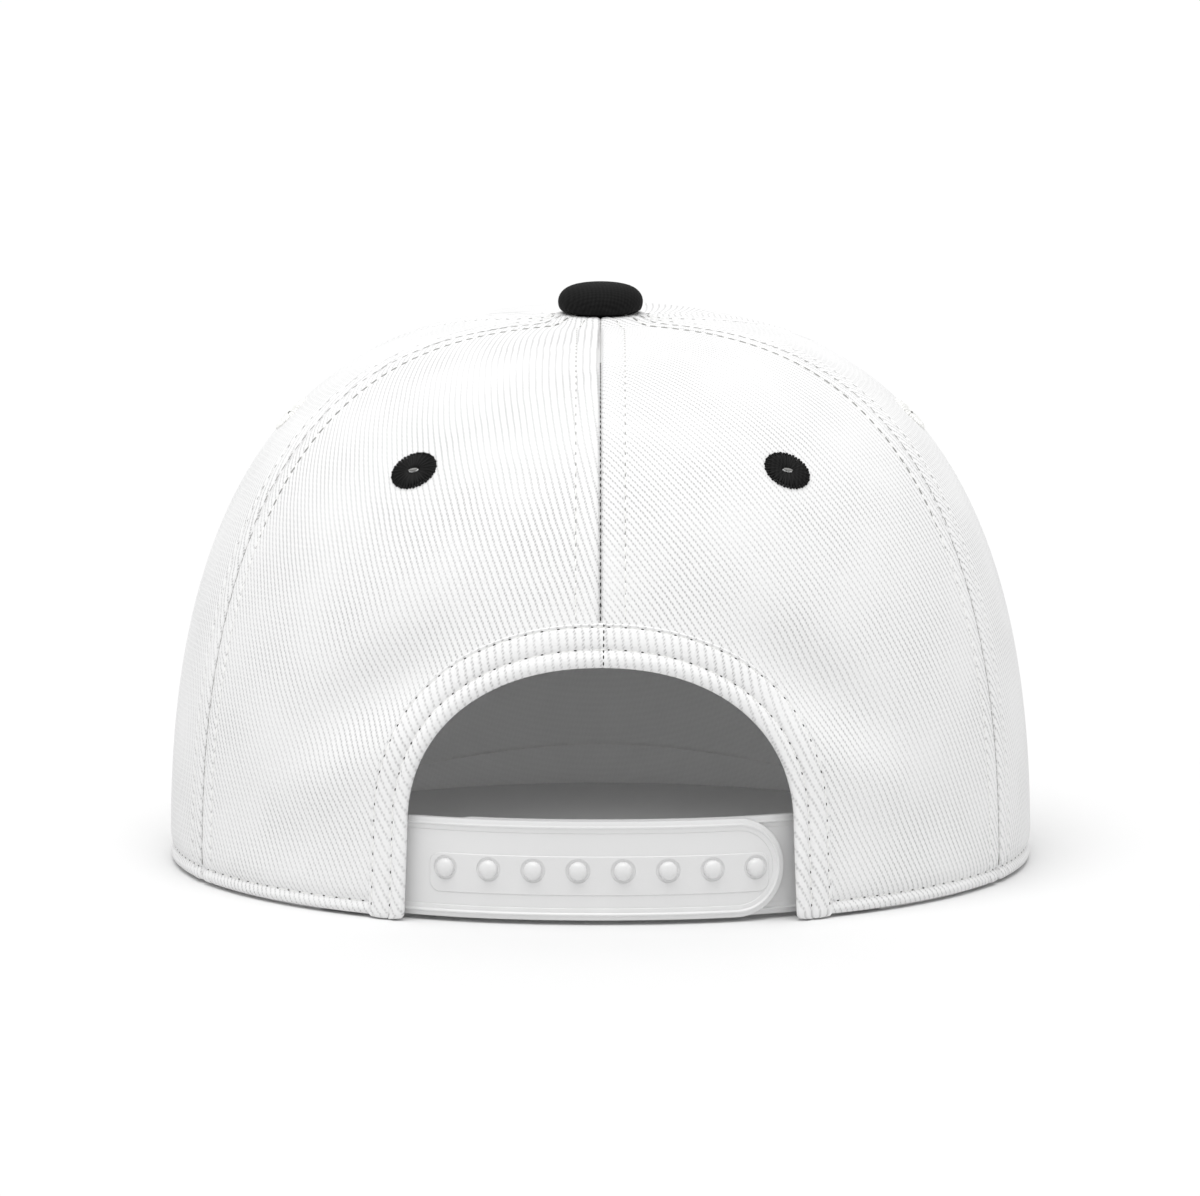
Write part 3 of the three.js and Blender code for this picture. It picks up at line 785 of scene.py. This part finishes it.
rearSeam, frontSeam = crown["rearSeam"], crown["frontSeam"]
seamAzimuths = np.array([0, rearSeam, -rearSeam, frontSeam, -frontSeam, 180])
seams = makeMeridians(seamAzimuths)
rows = [meridiansAt(seams, 4 + (seams["total"] - 7) * share) for share in np.linspace(0, 1, 200)]
out, up, normalOut, normalUp = (np.array(part) for part in zip(*rows))  # [row, seam]
sunk = thread["seamDepth"]
seamLines = roundAxis(out - sunk * normalOut, up - sunk * normalUp, seamAzimuths)
seamNormals = roundAxis(normalOut, normalUp, seamAzimuths)
for index, azimuth in enumerate(seamAzimuths):
    line, normals = seamLines[:, index], seamNormals[:, index]
    if azimuth == 0:
        roof = line[:, 1] <= thread["seamStart"]
        rear = (line[:, 2] > arch["height"] + 9) & ~roof
        shadeMarks.extend(seamDashes(line[rear], normals[rear], thread["seamDash"]))
        sideDashes.extend(seamDashes(line[roof], normals[roof], thread["roofDash"]))
    else:
        high = (line[:, 2] > thread["high"]) & (abs(azimuth) < 90)
        raised = line[high] + normals[high] * sunk
        sideDashes.extend(seamDashes(raised, normals[high], thread["highDash"], thread["highPitch"]))
        sideDashes.extend(seamDashes(line[~high], normals[~high], thread["sideSeamDash"]))
print("crown panels are laid")


# Edging of the rear opening

foot = arch["footShare"]
travel = np.concatenate([
    np.linspace(0.004, foot, 16)[:-1], np.linspace(foot, 1 - foot, 150)[:-1],
    np.linspace(1 - foot, 0.996, 16),
])
section = np.array(arch["section"])
rings, ringCloth, ringOut = [], [], []
for at in travel:
    x, z = archOutline(at, section[:, 0])
    z = np.maximum(z, 0)
    azimuth = azimuthBehind(x, z)
    place, out = surfaceAt(azimuth, z)
    breadth, deep = arch["seamGroove"]
    groove = np.exp(-((x / breadth) ** 2)) * deep * (section[:, 1] > -0.3)
    lift = section[:, 1] - groove
    ring = place + out * np.maximum(lift, 0)[:, None] + np.minimum(lift, 0)[:, None] * (0, 1, 0)
    rings.append(ring)
    ringOut.append(out)
    upright = np.logaddexp(0, (z - arch["uprightFrom"]) / 3) * 3
    ringCloth.append(np.stack([x + upright * 0.4, z], -1))
rings, ringOut, ringCloth = np.array(rings), np.array(ringOut), np.array(ringCloth)


# Three rings that close one foot of the edging in a soft end on the rim
def footEnd(last):
    middle = last.mean(0)
    made = []
    for rise, keep in ((0.3, 0.55), (0.55, 0.86), (1.1, 0.98)):
        ring = middle + (last - middle) * (keep, keep, 1)
        ring[:, 2] = rise
        made.append(ring)
    return made


above = np.flatnonzero(rings[:, :, 2].mean(1) > 1.2)
rings = np.concatenate([footEnd(rings[0]), rings[above], footEnd(rings[above[-1]])[::-1]])
order = [0] * 3 + list(above) + [above[-1]] * 3
ringOut, ringCloth = ringOut[order], ringCloth[order]
edging = layTube("arch_edging", rings, ringCloth)
finishPiece(edging, edgingTwill, "crown_twill", "arch_binding")
for index in (arch["outerStitch"], arch["innerStitch"]):
    sewCrown(rings[4:-4, index], ringOut[4:-4, index], arch["stitchPitch"])
middle, across = len(rings) // 2, arch["outside"]
shadeMarks.extend(seamDashes(rings[middle, across], ringOut[middle, across], thread["seamDash"]))
print("rear opening is edged")

layStitches("crown_stitching", stitches, whiteThread, "white_thread")
# Dark beads and dashes of painted shade for the needle holes and seam joins
layStitches("crown_needle_hole_shade", shadeMarks, needleShade, "white_thread")
layStitches("side_seam_shade", sideDashes, seamShade, "white_thread")
print(f"{len(stitches)} stitches are sewn on the crown")


# Eyelets

eyelet = {
    "long": 5.5,  # an oval sewn on the slant
    "short": 4.4,
    "lean": 17,
    "slit": (2.3, 0.7),
    "stitches": 42,
    "threadWidth": 0.85,
    "height": 0.8,
    "turnOver": (0.76, 0.72, 0.9),  # the small bump where the thread turns over the rim
    "places": {"rear": (32.1, 92.5), "side": (91, 96.0), "front": (148, 95.5)},
}


# Radial stitches round the hole: frames of place, way, out and size, and the frame of the slit's grey piece of
# painted shade
def eyeletFrames(azimuth, height, sign):
    place, out = surfaceAt(azimuth, height)
    across = np.cross((0, 0, 1.0), out)
    across /= np.linalg.norm(across)
    up = np.cross(out, across)
    lean = math.radians(eyelet["lean"]) * sign
    along = across * math.cos(lean) + up * math.sin(lean)
    over = np.cross(out, along)
    frames = []
    for i in range(eyelet["stitches"]):
        turn = 2 * np.pi * i / eyelet["stitches"]
        end = along * eyelet["long"] * math.cos(turn) + over * eyelet["short"] * math.sin(turn)
        start = along * eyelet["slit"][0] / 2 * math.cos(turn) + over * eyelet["slit"][1] / 2 * math.sin(turn)
        end = end * (1 + 0.012 * (-1) ** i)
        size = np.array([np.linalg.norm(end - start), eyelet["threadWidth"], eyelet["height"] * 1.6])
        sink = 0.1 if i % 2 else 0.0
        frames.append((place + (start + end) / 2 - out * sink, end - start, out, size))
        turned = end * (1 - 0.36 / np.linalg.norm(end))
        frames.append((place + turned - out * 0.05, end, out, np.array(eyelet["turnOver"])))
    # A grey piece of painted shade lies in the slit
    slit = (place + out * 0.42, along, out, np.array([*eyelet["slit"], 0.5]))
    return frames, slit


slitShades = []
for side, sign in (("left", 1), ("right", -1)):
    for name, (azimuth, height) in eyelet["places"].items():
        material, slot = (blackThread, "black_thread") if name == "rear" else (whiteThread, "white_thread")
        frames, slit = eyeletFrames(sign * azimuth, height, sign)
        ring = layStitches(f"eyelet_{name}_{side}_thread", frames, material, slot)
        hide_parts(f"eyelet_{name}_{side}")
        slitShades.append(slit)
layStitches("eyelet_slit_painted_shade", slitShades, slitShade, "white_thread")
print("eyelets are sewn")


# Top button

button = {
    "puckers": 26,
    "gather": (0.018, 4.2),  # depth of the puckers as a share, and how far up they fade out
    "profile": [
        (0, 0.1), (4, 0.15), (5.6, 0.9), (7, 1.75), (8.2, 1.85), (8.9, 2.5), (9.2, 3.7), (9.1, 4.9),
        (8.5, 6), (7.4, 6.95), (5.8, 7.55), (3.8, 7.9), (1.9, 8), (0, 8),
    ],
}

profile = [(x * mm, axisY, (crown["height"] + z) * mm) for x, z in button["profile"]]
cover = spinProfile("top_button_cover", profile, 52, (0, axisY, 0), 0.00002)
applyModifier(cover, "SUBSURF", levels=1, render_levels=1)
pucker, fade = button["gather"]
for vert in cover.data.vertices:  # the cloth is gathered under the button's edge
    low = smooth(1 - (vert.co.z / mm - crown["height"]) / fade)
    turn = math.atan2(vert.co.x, vert.co.y - axisY)
    grow = 1 + pucker * float(low) * math.sin(button["puckers"] * turn + 2 * math.sin(3 * turn))
    vert.co.x *= grow
    vert.co.y = axisY + (vert.co.y - axisY) * grow
finishPiece(cover, buttonCotton, "button_cloth", "top_button")
print("button is covered")


# Sweatband

band = {
    "bottom": 0.03,
    "height": 32,
    "seam": 3.4,  # where it is sewn in, measured up from the rim; in front it is sewn down to the brim
    "frontSeam": 0.4,
    "inset": 2.75,
    "wall": 0.9,
    "start": 40.5,
    "columns": 220,
    "below": [0, 0.35, 0.7, 0.9, 1],  # shares of the way up to the seam
    "above": [0.35, 0.8, 1.6, 3],
}

around = np.linspace(band["start"], 360 - band["start"], band["columns"])
rim = rimHeight(around)
seam = rim + band["frontSeam"] + (band["seam"] - band["frontSeam"]) * (1 - smooth(rim / 3))
spread = np.radians(around) * crown["rearLength"]
heights = [band["bottom"] + (seam - band["bottom"]) * share for share in band["below"]]
heights += [seam + rise for rise in band["above"]]
heights += [seam + 3 + (rim + band["height"] - seam - 3) * share for share in np.linspace(0, 1, 19)[1:]]
bandPoints, bandCloth, bandIn = [], [], []
for row, height in enumerate(heights):
    place, out = surfaceAt(around, height)
    above = smooth((height - seam) / band["height"])
    ripple = 0.12 * np.sin(spread / 7.3 + 2 * above) * np.sin(spread / 23) * above
    groove = 0.35 if row == len(band["below"]) - 1 else 0
    rolled = 0.7 * smooth((height - rim - band["height"] + 4) / 4)
    bandPoints.append(place - out * (band["inset"] - groove + ripple + rolled)[:, None])
    bandIn.append(-out)
    bandCloth.append(np.stack([spread, height], -1))
sweatband = layCloth("sweatband_cloth", np.array(bandPoints), np.array(bandCloth))
applyModifier(sweatband, "SOLIDIFY", thickness=band["wall"] * mm, offset=-1)
square = math.radians(80)
applyModifier(sweatband, "BEVEL", width=0.12 * mm, segments=2, limit_method="ANGLE", angle_limit=square)
finishPiece(sweatband, bandCotton, "band_cloth", "sweatband")
sewn = len(band["below"]) - 1
line = bandPoints[sewn] + bandIn[sewn] * (band["wall"] + 0.02)
made, _between = stitchLine(line, bandIn[sewn])
layStitches("sweatband_stitching", made, whiteThread, "white_thread")
print("sweatband is in")


# Brim

frontY = crown["frontLength"] + brimShape["length"]
tipAzimuth = 180 - brimShape["tip"]
tipRadius = crownRadius(tipAzimuth, 0) + brimShape["tipWidth"]
nearCorner, farCorner, back = brimShape["steer"]
brimCorners = np.array([
    (0, -frontY), (brimShape["halfWidth"] * nearCorner, -frontY),
    (brimShape["halfWidth"] * farCorner, -frontY + brimShape["length"] * back),
    roundAxis(tipRadius, 0, tipAzimuth)[:2],
])


# Rim of the brim, from the middle of its front at 0 to its end beside the crown at 1
def brimRim(t):
    t = np.asarray(t, float)[..., None]
    a, b, c, d = brimCorners
    return (1 - t) ** 3 * a + 3 * (1 - t) ** 2 * t * b + 3 * (1 - t) * t * t * c + t ** 3 * d


# Place on the brim: side from -1 to 1, inset from the rim in mm or a share of the way in from the rim
def brimPlace(side, inward, share=False):
    rim = brimRim(np.abs(side))
    rim = rim * np.stack([np.sign(side), 1 + 0 * side], -1)
    azimuth = 180 - side * brimShape["tip"]
    radius = crownRadius(azimuth, 0) - 2
    way = roundAxis(radius, 0, azimuth)[..., :2] - rim
    reach = np.linalg.norm(way, axis=-1)
    part = inward if share else np.clip(inward / np.maximum(reach, 1e-6), 0, 1)
    return rim + way * np.asarray(part)[..., None], reach


sideSteps = np.linspace(-1, 1, 121)
nearRim, shares = [0, 0.35, 0.9, 1.7], np.linspace(0.05, 1, 44)  # rows in mm, then as shares of the way in
rimReach = np.maximum(brimPlace(sideSteps, 0)[1], 2)
rowPitch = brimShape["rowPitch"]
deep, wide = brimShape["quilt"]
points, cloth = [], []
for k, amount in enumerate([*nearRim, *shares]):
    near = k < len(nearRim)
    flat, reach = brimPlace(sideSteps, amount / rimReach if near else amount, True)
    distance = amount + 0 * reach if near else amount * reach
    inside = distance - brimShape["firstRow"]
    fromRow = rowPitch / 2 - np.abs((inside / rowPitch) % 1 - 0.5) * rowPitch
    quilted = (inside > -3) & (inside < rowPitch * (brimShape["rows"] - 0.6))
    quilt = np.where(quilted, deep * np.exp(-((fromRow / wide) ** 2)), 0)
    drop = 1.15 * (1 - smooth(distance / 1.5)) + quilt
    lift = brimShape["thickness"] - drop
    points.append(np.stack([flat[:, 0], flat[:, 1], brimRise(flat[:, 0]) + lift], -1))
    cloth.append(flat)
points, cloth = np.array(points), np.array(cloth)
under = points.copy()
under[..., 2] = 2 * (brimRise(points[..., 0]) + brimShape["thickness"] / 2) - points[..., 2]
loop = np.concatenate([points[::-1], under, points[-1:]])  # all round, so the inner edge is closed too
brimTop = layCloth("brim_cover", loop, np.concatenate([cloth[::-1], cloth, cloth[-1:]]))
work = bmesh.new()
work.from_mesh(brimTop.data)
bmesh.ops.remove_doubles(work, verts=work.verts, dist=0.00001)
edges = [e for e in work.edges if e.is_boundary]
bmesh.ops.holes_fill(work, edges=edges, sides=0)
bmesh.ops.recalc_face_normals(work, faces=work.faces)
work.to_mesh(brimTop.data)
work.free()
finishPiece(brimTop, brimTwill, "brim_twill", "brim")

# The brim's needle holes on top get dark beads of painted shade
brimStitches, brimShadeMarks = [], []
for row in range(brimShape["rows"]):
    inward = brimShape["firstRow"] + rowPitch * row
    sides = np.linspace(-1, 1, 241)
    flat, reach = brimPlace(sides, inward)
    keep = reach > inward + 4
    flat = flat[keep]
    for top in (1, 0):
        z = brimRise(flat[:, 0]) + (brimShape["thickness"] - 0.2 if top else 0.2)
        line = np.stack([flat[:, 0], flat[:, 1], z], -1)
        out = np.zeros_like(line)
        out[:, 2] = 1 if top else -1
        made, between = stitchLine(line, out, brimShape["stitchPitch"], brimShape["hole"])
        brimStitches.extend(made)
        brimShadeMarks.extend(between if top else [])
layStitches("brim_stitching", brimStitches, whiteThread, "white_thread")
layStitches("brim_needle_hole_shade", brimShadeMarks, needleShade, "white_thread")
print("brim is covered and quilted")


# Strap

strap = {
    "height": 21,
    "raise": 1,
    "thickness": 1.5,
    "inset": 4.4,
    "rimWidth": 2.7,
    "rimProud": 0.35,
    "reach": 25.3,
    "tail": 39,
    "innerReach": 24.5,
    "pegs": 8,
    "pegPitch": 9.5,
    "pegRadius": 1.95,
    "holeRadius": 2.58,
    "footRadius": 2.56,
    "cloth": 3.0,  # between the crown's outside and the strap's hidden ends
    "plateInset": 0.3,
    "panel": (-36.4, 37.0, 6.15, 14.75),  # raised oval: along from, to, low and high
    "panelProud": 0.17,
    "panelRound": 2.4,
    "step": 1.5,  # between the cuts that let a plate bend
    "cornerSteps": 14,
}
pegPlaces = [(i - (strap["pegs"] - 1) / 2) * strap["pegPitch"] for i in range(strap["pegs"])]


def strapRadius(azimuth, depth):
    foot = np.radians(azimuth) * crown["rearLength"] / arch["footHalfWidth"]
    free = np.where(np.abs(foot) < 1, np.cos(foot * np.pi / 2) ** 2, 0)
    top = strap["raise"] + strap["height"]
    under = crownRadius(azimuth, top) - strap["cloth"]
    atRear = crownRadius(0, top)
    inset = crown["rearLength"] - strap["inset"] - (atRear - strap["cloth"])
    return under + free * inset - depth


strapTable = np.linspace(-60, 60, 2401)
strapRun = runAlong(roundAxis(strapRadius(strapTable, 0), 0, strapTable))
strapRun -= np.interp(0, strapTable, strapRun)


# Flat points (along, up, out) bent onto the strap's line round the rear
def bendStrap(points):
    azimuth = np.interp(points[:, 0], strapRun, strapTable)
    radius = strapRadius(azimuth, -points[:, 2])
    return roundAxis(radius, points[:, 1], azimuth)


def alongAt(azimuth):
    return float(np.interp(azimuth, strapTable, strapRun))


# A flat plate with straight sides and round ends, cut across so that it can bend
def flatPlate(name, start, end, low, high, back, front, roundStart=0, roundEnd=0):
    columns = int((end - start) / strap["step"])

    def corner(x, y, radius, turn):
        steps = np.arange(1, strap["cornerSteps"] + 1)
        turns = np.radians(turn - 90 * steps / strap["cornerSteps"])
        return [(x + radius * math.cos(t), y + radius * math.sin(t)) for t in turns]
    left, right = start + roundStart, end - roundEnd
    outline = [
        *((x, high) for x in np.linspace(left, right, columns)),
        *corner(right, high - roundEnd, roundEnd, 90), *corner(right, low + roundEnd, roundEnd, 0),
        *((x, low) for x in np.linspace(right, left, columns)),
        *corner(left, low + roundStart, roundStart, 270), *corner(left, high - roundStart, roundStart, 180),
    ]
    clean = []
    for point in outline:
        if not clean or math.dist(point, clean[-1]) > 1e-4:
            clean.append(point)
    if math.dist(clean[0], clean[-1]) < 1e-4:
        clean.pop()
    mesh = bpy.data.meshes.new(name)
    mesh.from_pydata([(x, y, front) for x, y in clean], [], [tuple(range(len(clean)))])
    piece = addObject(name, mesh)
    startEdit(piece)
    bpy.ops.mesh.normals_make_consistent(inside=False)
    for x in np.linspace(start, end, columns + 1)[1:-1]:
        bpy.ops.mesh.select_all(action="SELECT")
        bpy.ops.mesh.bisect(plane_co=(x, 0, 0), plane_no=(1, 0, 0))
    bpy.ops.mesh.select_all(action="SELECT")
    bpy.ops.mesh.extrude_region_move(TRANSFORM_OT_translate={"value": (0, 0, back - front)})
    bpy.ops.mesh.select_all(action="SELECT")
    bpy.ops.mesh.normals_make_consistent(inside=False)
    endEdit()
    return piece


def cutHoles(piece, radius):
    bpy.ops.object.select_all(action="DESELECT")
    cutters = []
    for along in pegPlaces:
        bpy.ops.mesh.primitive_cylinder_add(
            vertices=40, radius=radius, depth=12, location=(along, strap["raise"] + strap["height"] / 2, 0)
        )
        cutters.append(bpy.context.object)
    for cutter in cutters:
        cutter.select_set(True)
    bpy.ops.object.join()
    cutter = bpy.context.object
    cutter.select_set(False)
    applyModifier(piece, "BOOLEAN", operation="DIFFERENCE", object=cutter, solver="EXACT")
    bpy.data.objects.remove(cutter)


# A raised edge swept along the plate's two long edges and round its free end
def edgeRim(name, start, end, depth, free):
    half = strap["height"] / 2
    middle = strap["raise"] + half
    tail, tip = (end, start) if free == "start" else (start, end)
    way = -1 if free == "start" else 1
    straight = np.linspace(tail, tip - way * half, 72)
    path = [(x, middle + half, 0, 1) for x in straight]
    for turn in np.linspace(np.pi / 2, -np.pi / 2, 42)[1:-1]:
        path.append((
            tip - way * half + way * half * math.cos(turn), middle + half * math.sin(turn),
            way * math.cos(turn), math.sin(turn),
        ))
    path += [(x, middle - half, 0, -1) for x in straight[::-1]]
    w, proud, thick = strap["rimWidth"], strap["rimProud"], strap["thickness"]
    profileHere = [  # inward, outward: a flat flange with a fine bead along it
        (0, -thick + 0.25), (0, proud - 0.45), (0.1, proud - 0.27), (0.32, proud - 0.17),
        (0.8, proud - 0.14), (0.95, proud - 0.1), (1.05, proud + 0.08), (1.2, proud + 0.14),
        (1.38, proud + 0.1), (1.52, proud - 0.04), (1.66, proud - 0.14), (w - 0.5, proud - 0.16),
        (w - 0.2, proud - 0.24), (w, -0.1), (w, -thick + 0.1), (w - 0.3, -thick), (0.25, -thick),
    ]
    ringsHere = []
    for x, y, nx, ny in path:
        flat = np.array([(x - nx * inward, y - ny * inward, out - depth) for inward, out in profileHere])
        ringsHere.append(bendStrap(flat))
    ringsHere = np.array(ringsHere)
    return layTube(name, ringsHere, np.zeros((*ringsHere.shape[:2], 2)))


def bendPiece(piece):
    flat = np.array([v.co for v in piece.data.vertices])
    piece.data.vertices.foreach_set("co", toFrame(bendStrap(flat)).astype(np.float32).ravel())
    piece.data.update()


def joinPieces(pieces, name):
    selectOnly(pieces[0])
    for piece in pieces[1:]:
        piece.select_set(True)
    bpy.ops.object.join()
    pieces[0].name = name
    return pieces[0]


half = strap["height"] / 2
low, high = strap["raise"], strap["raise"] + strap["height"]
proud, thick, inset = strap["rimProud"], strap["thickness"], strap["plateInset"]
plateSides = low + inset, high - inset
start, end = alongAt(-strap["reach"]), alongAt(strap["tail"])
plate = flatPlate("strap_outer_plate", start, end, *plateSides, -thick, -proud, roundStart=half - inset)
cutHoles(plate, strap["holeRadius"])
bendPiece(plate)
a, b, lowPanel, highPanel = strap["panel"]
raised = flatPlate(
    "strap_outer_panel", a, b, lowPanel, highPanel, -proud - 0.6, -proud + strap["panelProud"],
    roundStart=strap["panelRound"], roundEnd=strap["panelRound"],
)
applyModifier(raised, "BEVEL", width=0.3, segments=1, limit_method="ANGLE", angle_limit=math.radians(60))
cutHoles(raised, strap["holeRadius"])
bendPiece(raised)
rim = edgeRim("strap_outer_rim", start, end, proud, "start")
outer = joinPieces([plate, raised, rim], "strap_outer_half")
finishPiece(outer, strapPlastic, "strap_plastic", "strap_outer", degrees=30)

depth = thick + proud + 0.3
start, end = alongAt(-strap["tail"]), alongAt(strap["innerReach"])
back = -depth - thick + proud
plate = flatPlate("strap_inner_plate", start, end, *plateSides, back, -depth, roundEnd=half - inset)
bendPiece(plate)
rim = edgeRim("strap_inner_rim", start, end, depth + proud * 0.2, "end")
pegPieces = []
r, footR = strap["pegRadius"], strap["footRadius"]
shoulder = strap["panelProud"] - proud - 0.05
pegProfile = [  # outward, up from the strap: a foot that fills the hole, a shoulder and the dome
    (0, -depth - 0.3), (footR, -depth - 0.3), (footR, shoulder), (2.4, shoulder - 0.1),
    (2.2, shoulder - 0.17), (r, shoulder - 0.2), (r, 0.0), (r * 0.99, 0.25), (r * 0.93, 0.55),
    (r * 0.81, 0.82), (r * 0.64, 1.03), (r * 0.4, 1.18), (r * 0.2, 1.24), (0, 1.25),
]
for along in pegPlaces:
    points = [(along + x, low + half, z) for x, z in pegProfile]
    peg = spinProfile("strap_peg", points, 36, (along, low + half, 0), 0.001)
    bendPiece(peg)
    pegPieces.append(peg)
inner = joinPieces([plate, rim, *pegPieces], "strap_inner_half")
finishPiece(inner, strapPlastic, "strap_plastic", "strap_inner", degrees=30)
print("strap is moulded and snapped")


# Stage, light and camera

studio = {
    "world": 0.75,
    "keyStrength": 1.95,
    "keySpread": 50,
    "keyWay": (0.07, 0.24, 1),  # towards the light
    "fillPower": 0.0055,  # a small soft lamp inside the crown, shining down, opens up its shade
    "fillPlace": (0, axisY - 0.024, 0.045),
    "fillSize": 0.05,
    "floor": 0.75,
}

bpy.ops.mesh.primitive_plane_add(size=40, location=(0, 0, 0))
floor = bpy.context.object
floor.name = "floor"
floorPaint, _tree, shader = newMaterial("white_sweep")
setInputs(shader, {"Base Color": (*[studio["floor"]] * 3, 1), "Roughness": 1, "Specular IOR Level": 0})
floor.data.materials.append(floorPaint)

world = bpy.data.worlds.new("white_studio")
bpy.context.scene.world = world
world.use_nodes = True
setInputs(world.node_tree.nodes["Background"], {"Color": (1, 1, 1, 1), "Strength": studio["world"]})

keyLight = bpy.data.lights.new("key", "SUN")
keyLight.energy = studio["keyStrength"]
keyLight.angle = math.radians(studio["keySpread"])
key = addObject("key", keyLight)
key.rotation_euler = Vector(studio["keyWay"]).to_track_quat("Z", "Y").to_euler()

fillLight = bpy.data.lights.new("fill", "AREA")
fillLight.energy = studio["fillPower"]
fillLight.shape = "DISK"
fillLight.size = studio["fillSize"]
fill = addObject("fill", fillLight)
fill.location = studio["fillPlace"]
fill.visible_camera = False

shot = {"lens": 418.14, "distance": 3.0, "elevation": 8.42, "target": (0.00011, axisY, 0.05612)}
cameraData = bpy.data.cameras.new("camera")
cameraData.lens = shot["lens"]
cameraData.clip_end = 100
camera = addObject("camera", cameraData)
tilt = math.radians(shot["elevation"])
away = Vector((0, math.cos(tilt), math.sin(tilt)))
camera.location = Vector(shot["target"]) + shot["distance"] * away
camera.rotation_euler = away.to_track_quat("Z", "Y").to_euler()
bpy.context.scene.camera = camera
bpy.context.scene.view_settings.view_transform = "Standard"
bpy.context.scene.cycles.max_bounces = 16
bpy.context.scene.cycles.diffuse_bounces = 12  # the light inside the crown comes off white cloth many times
print("stage is set")
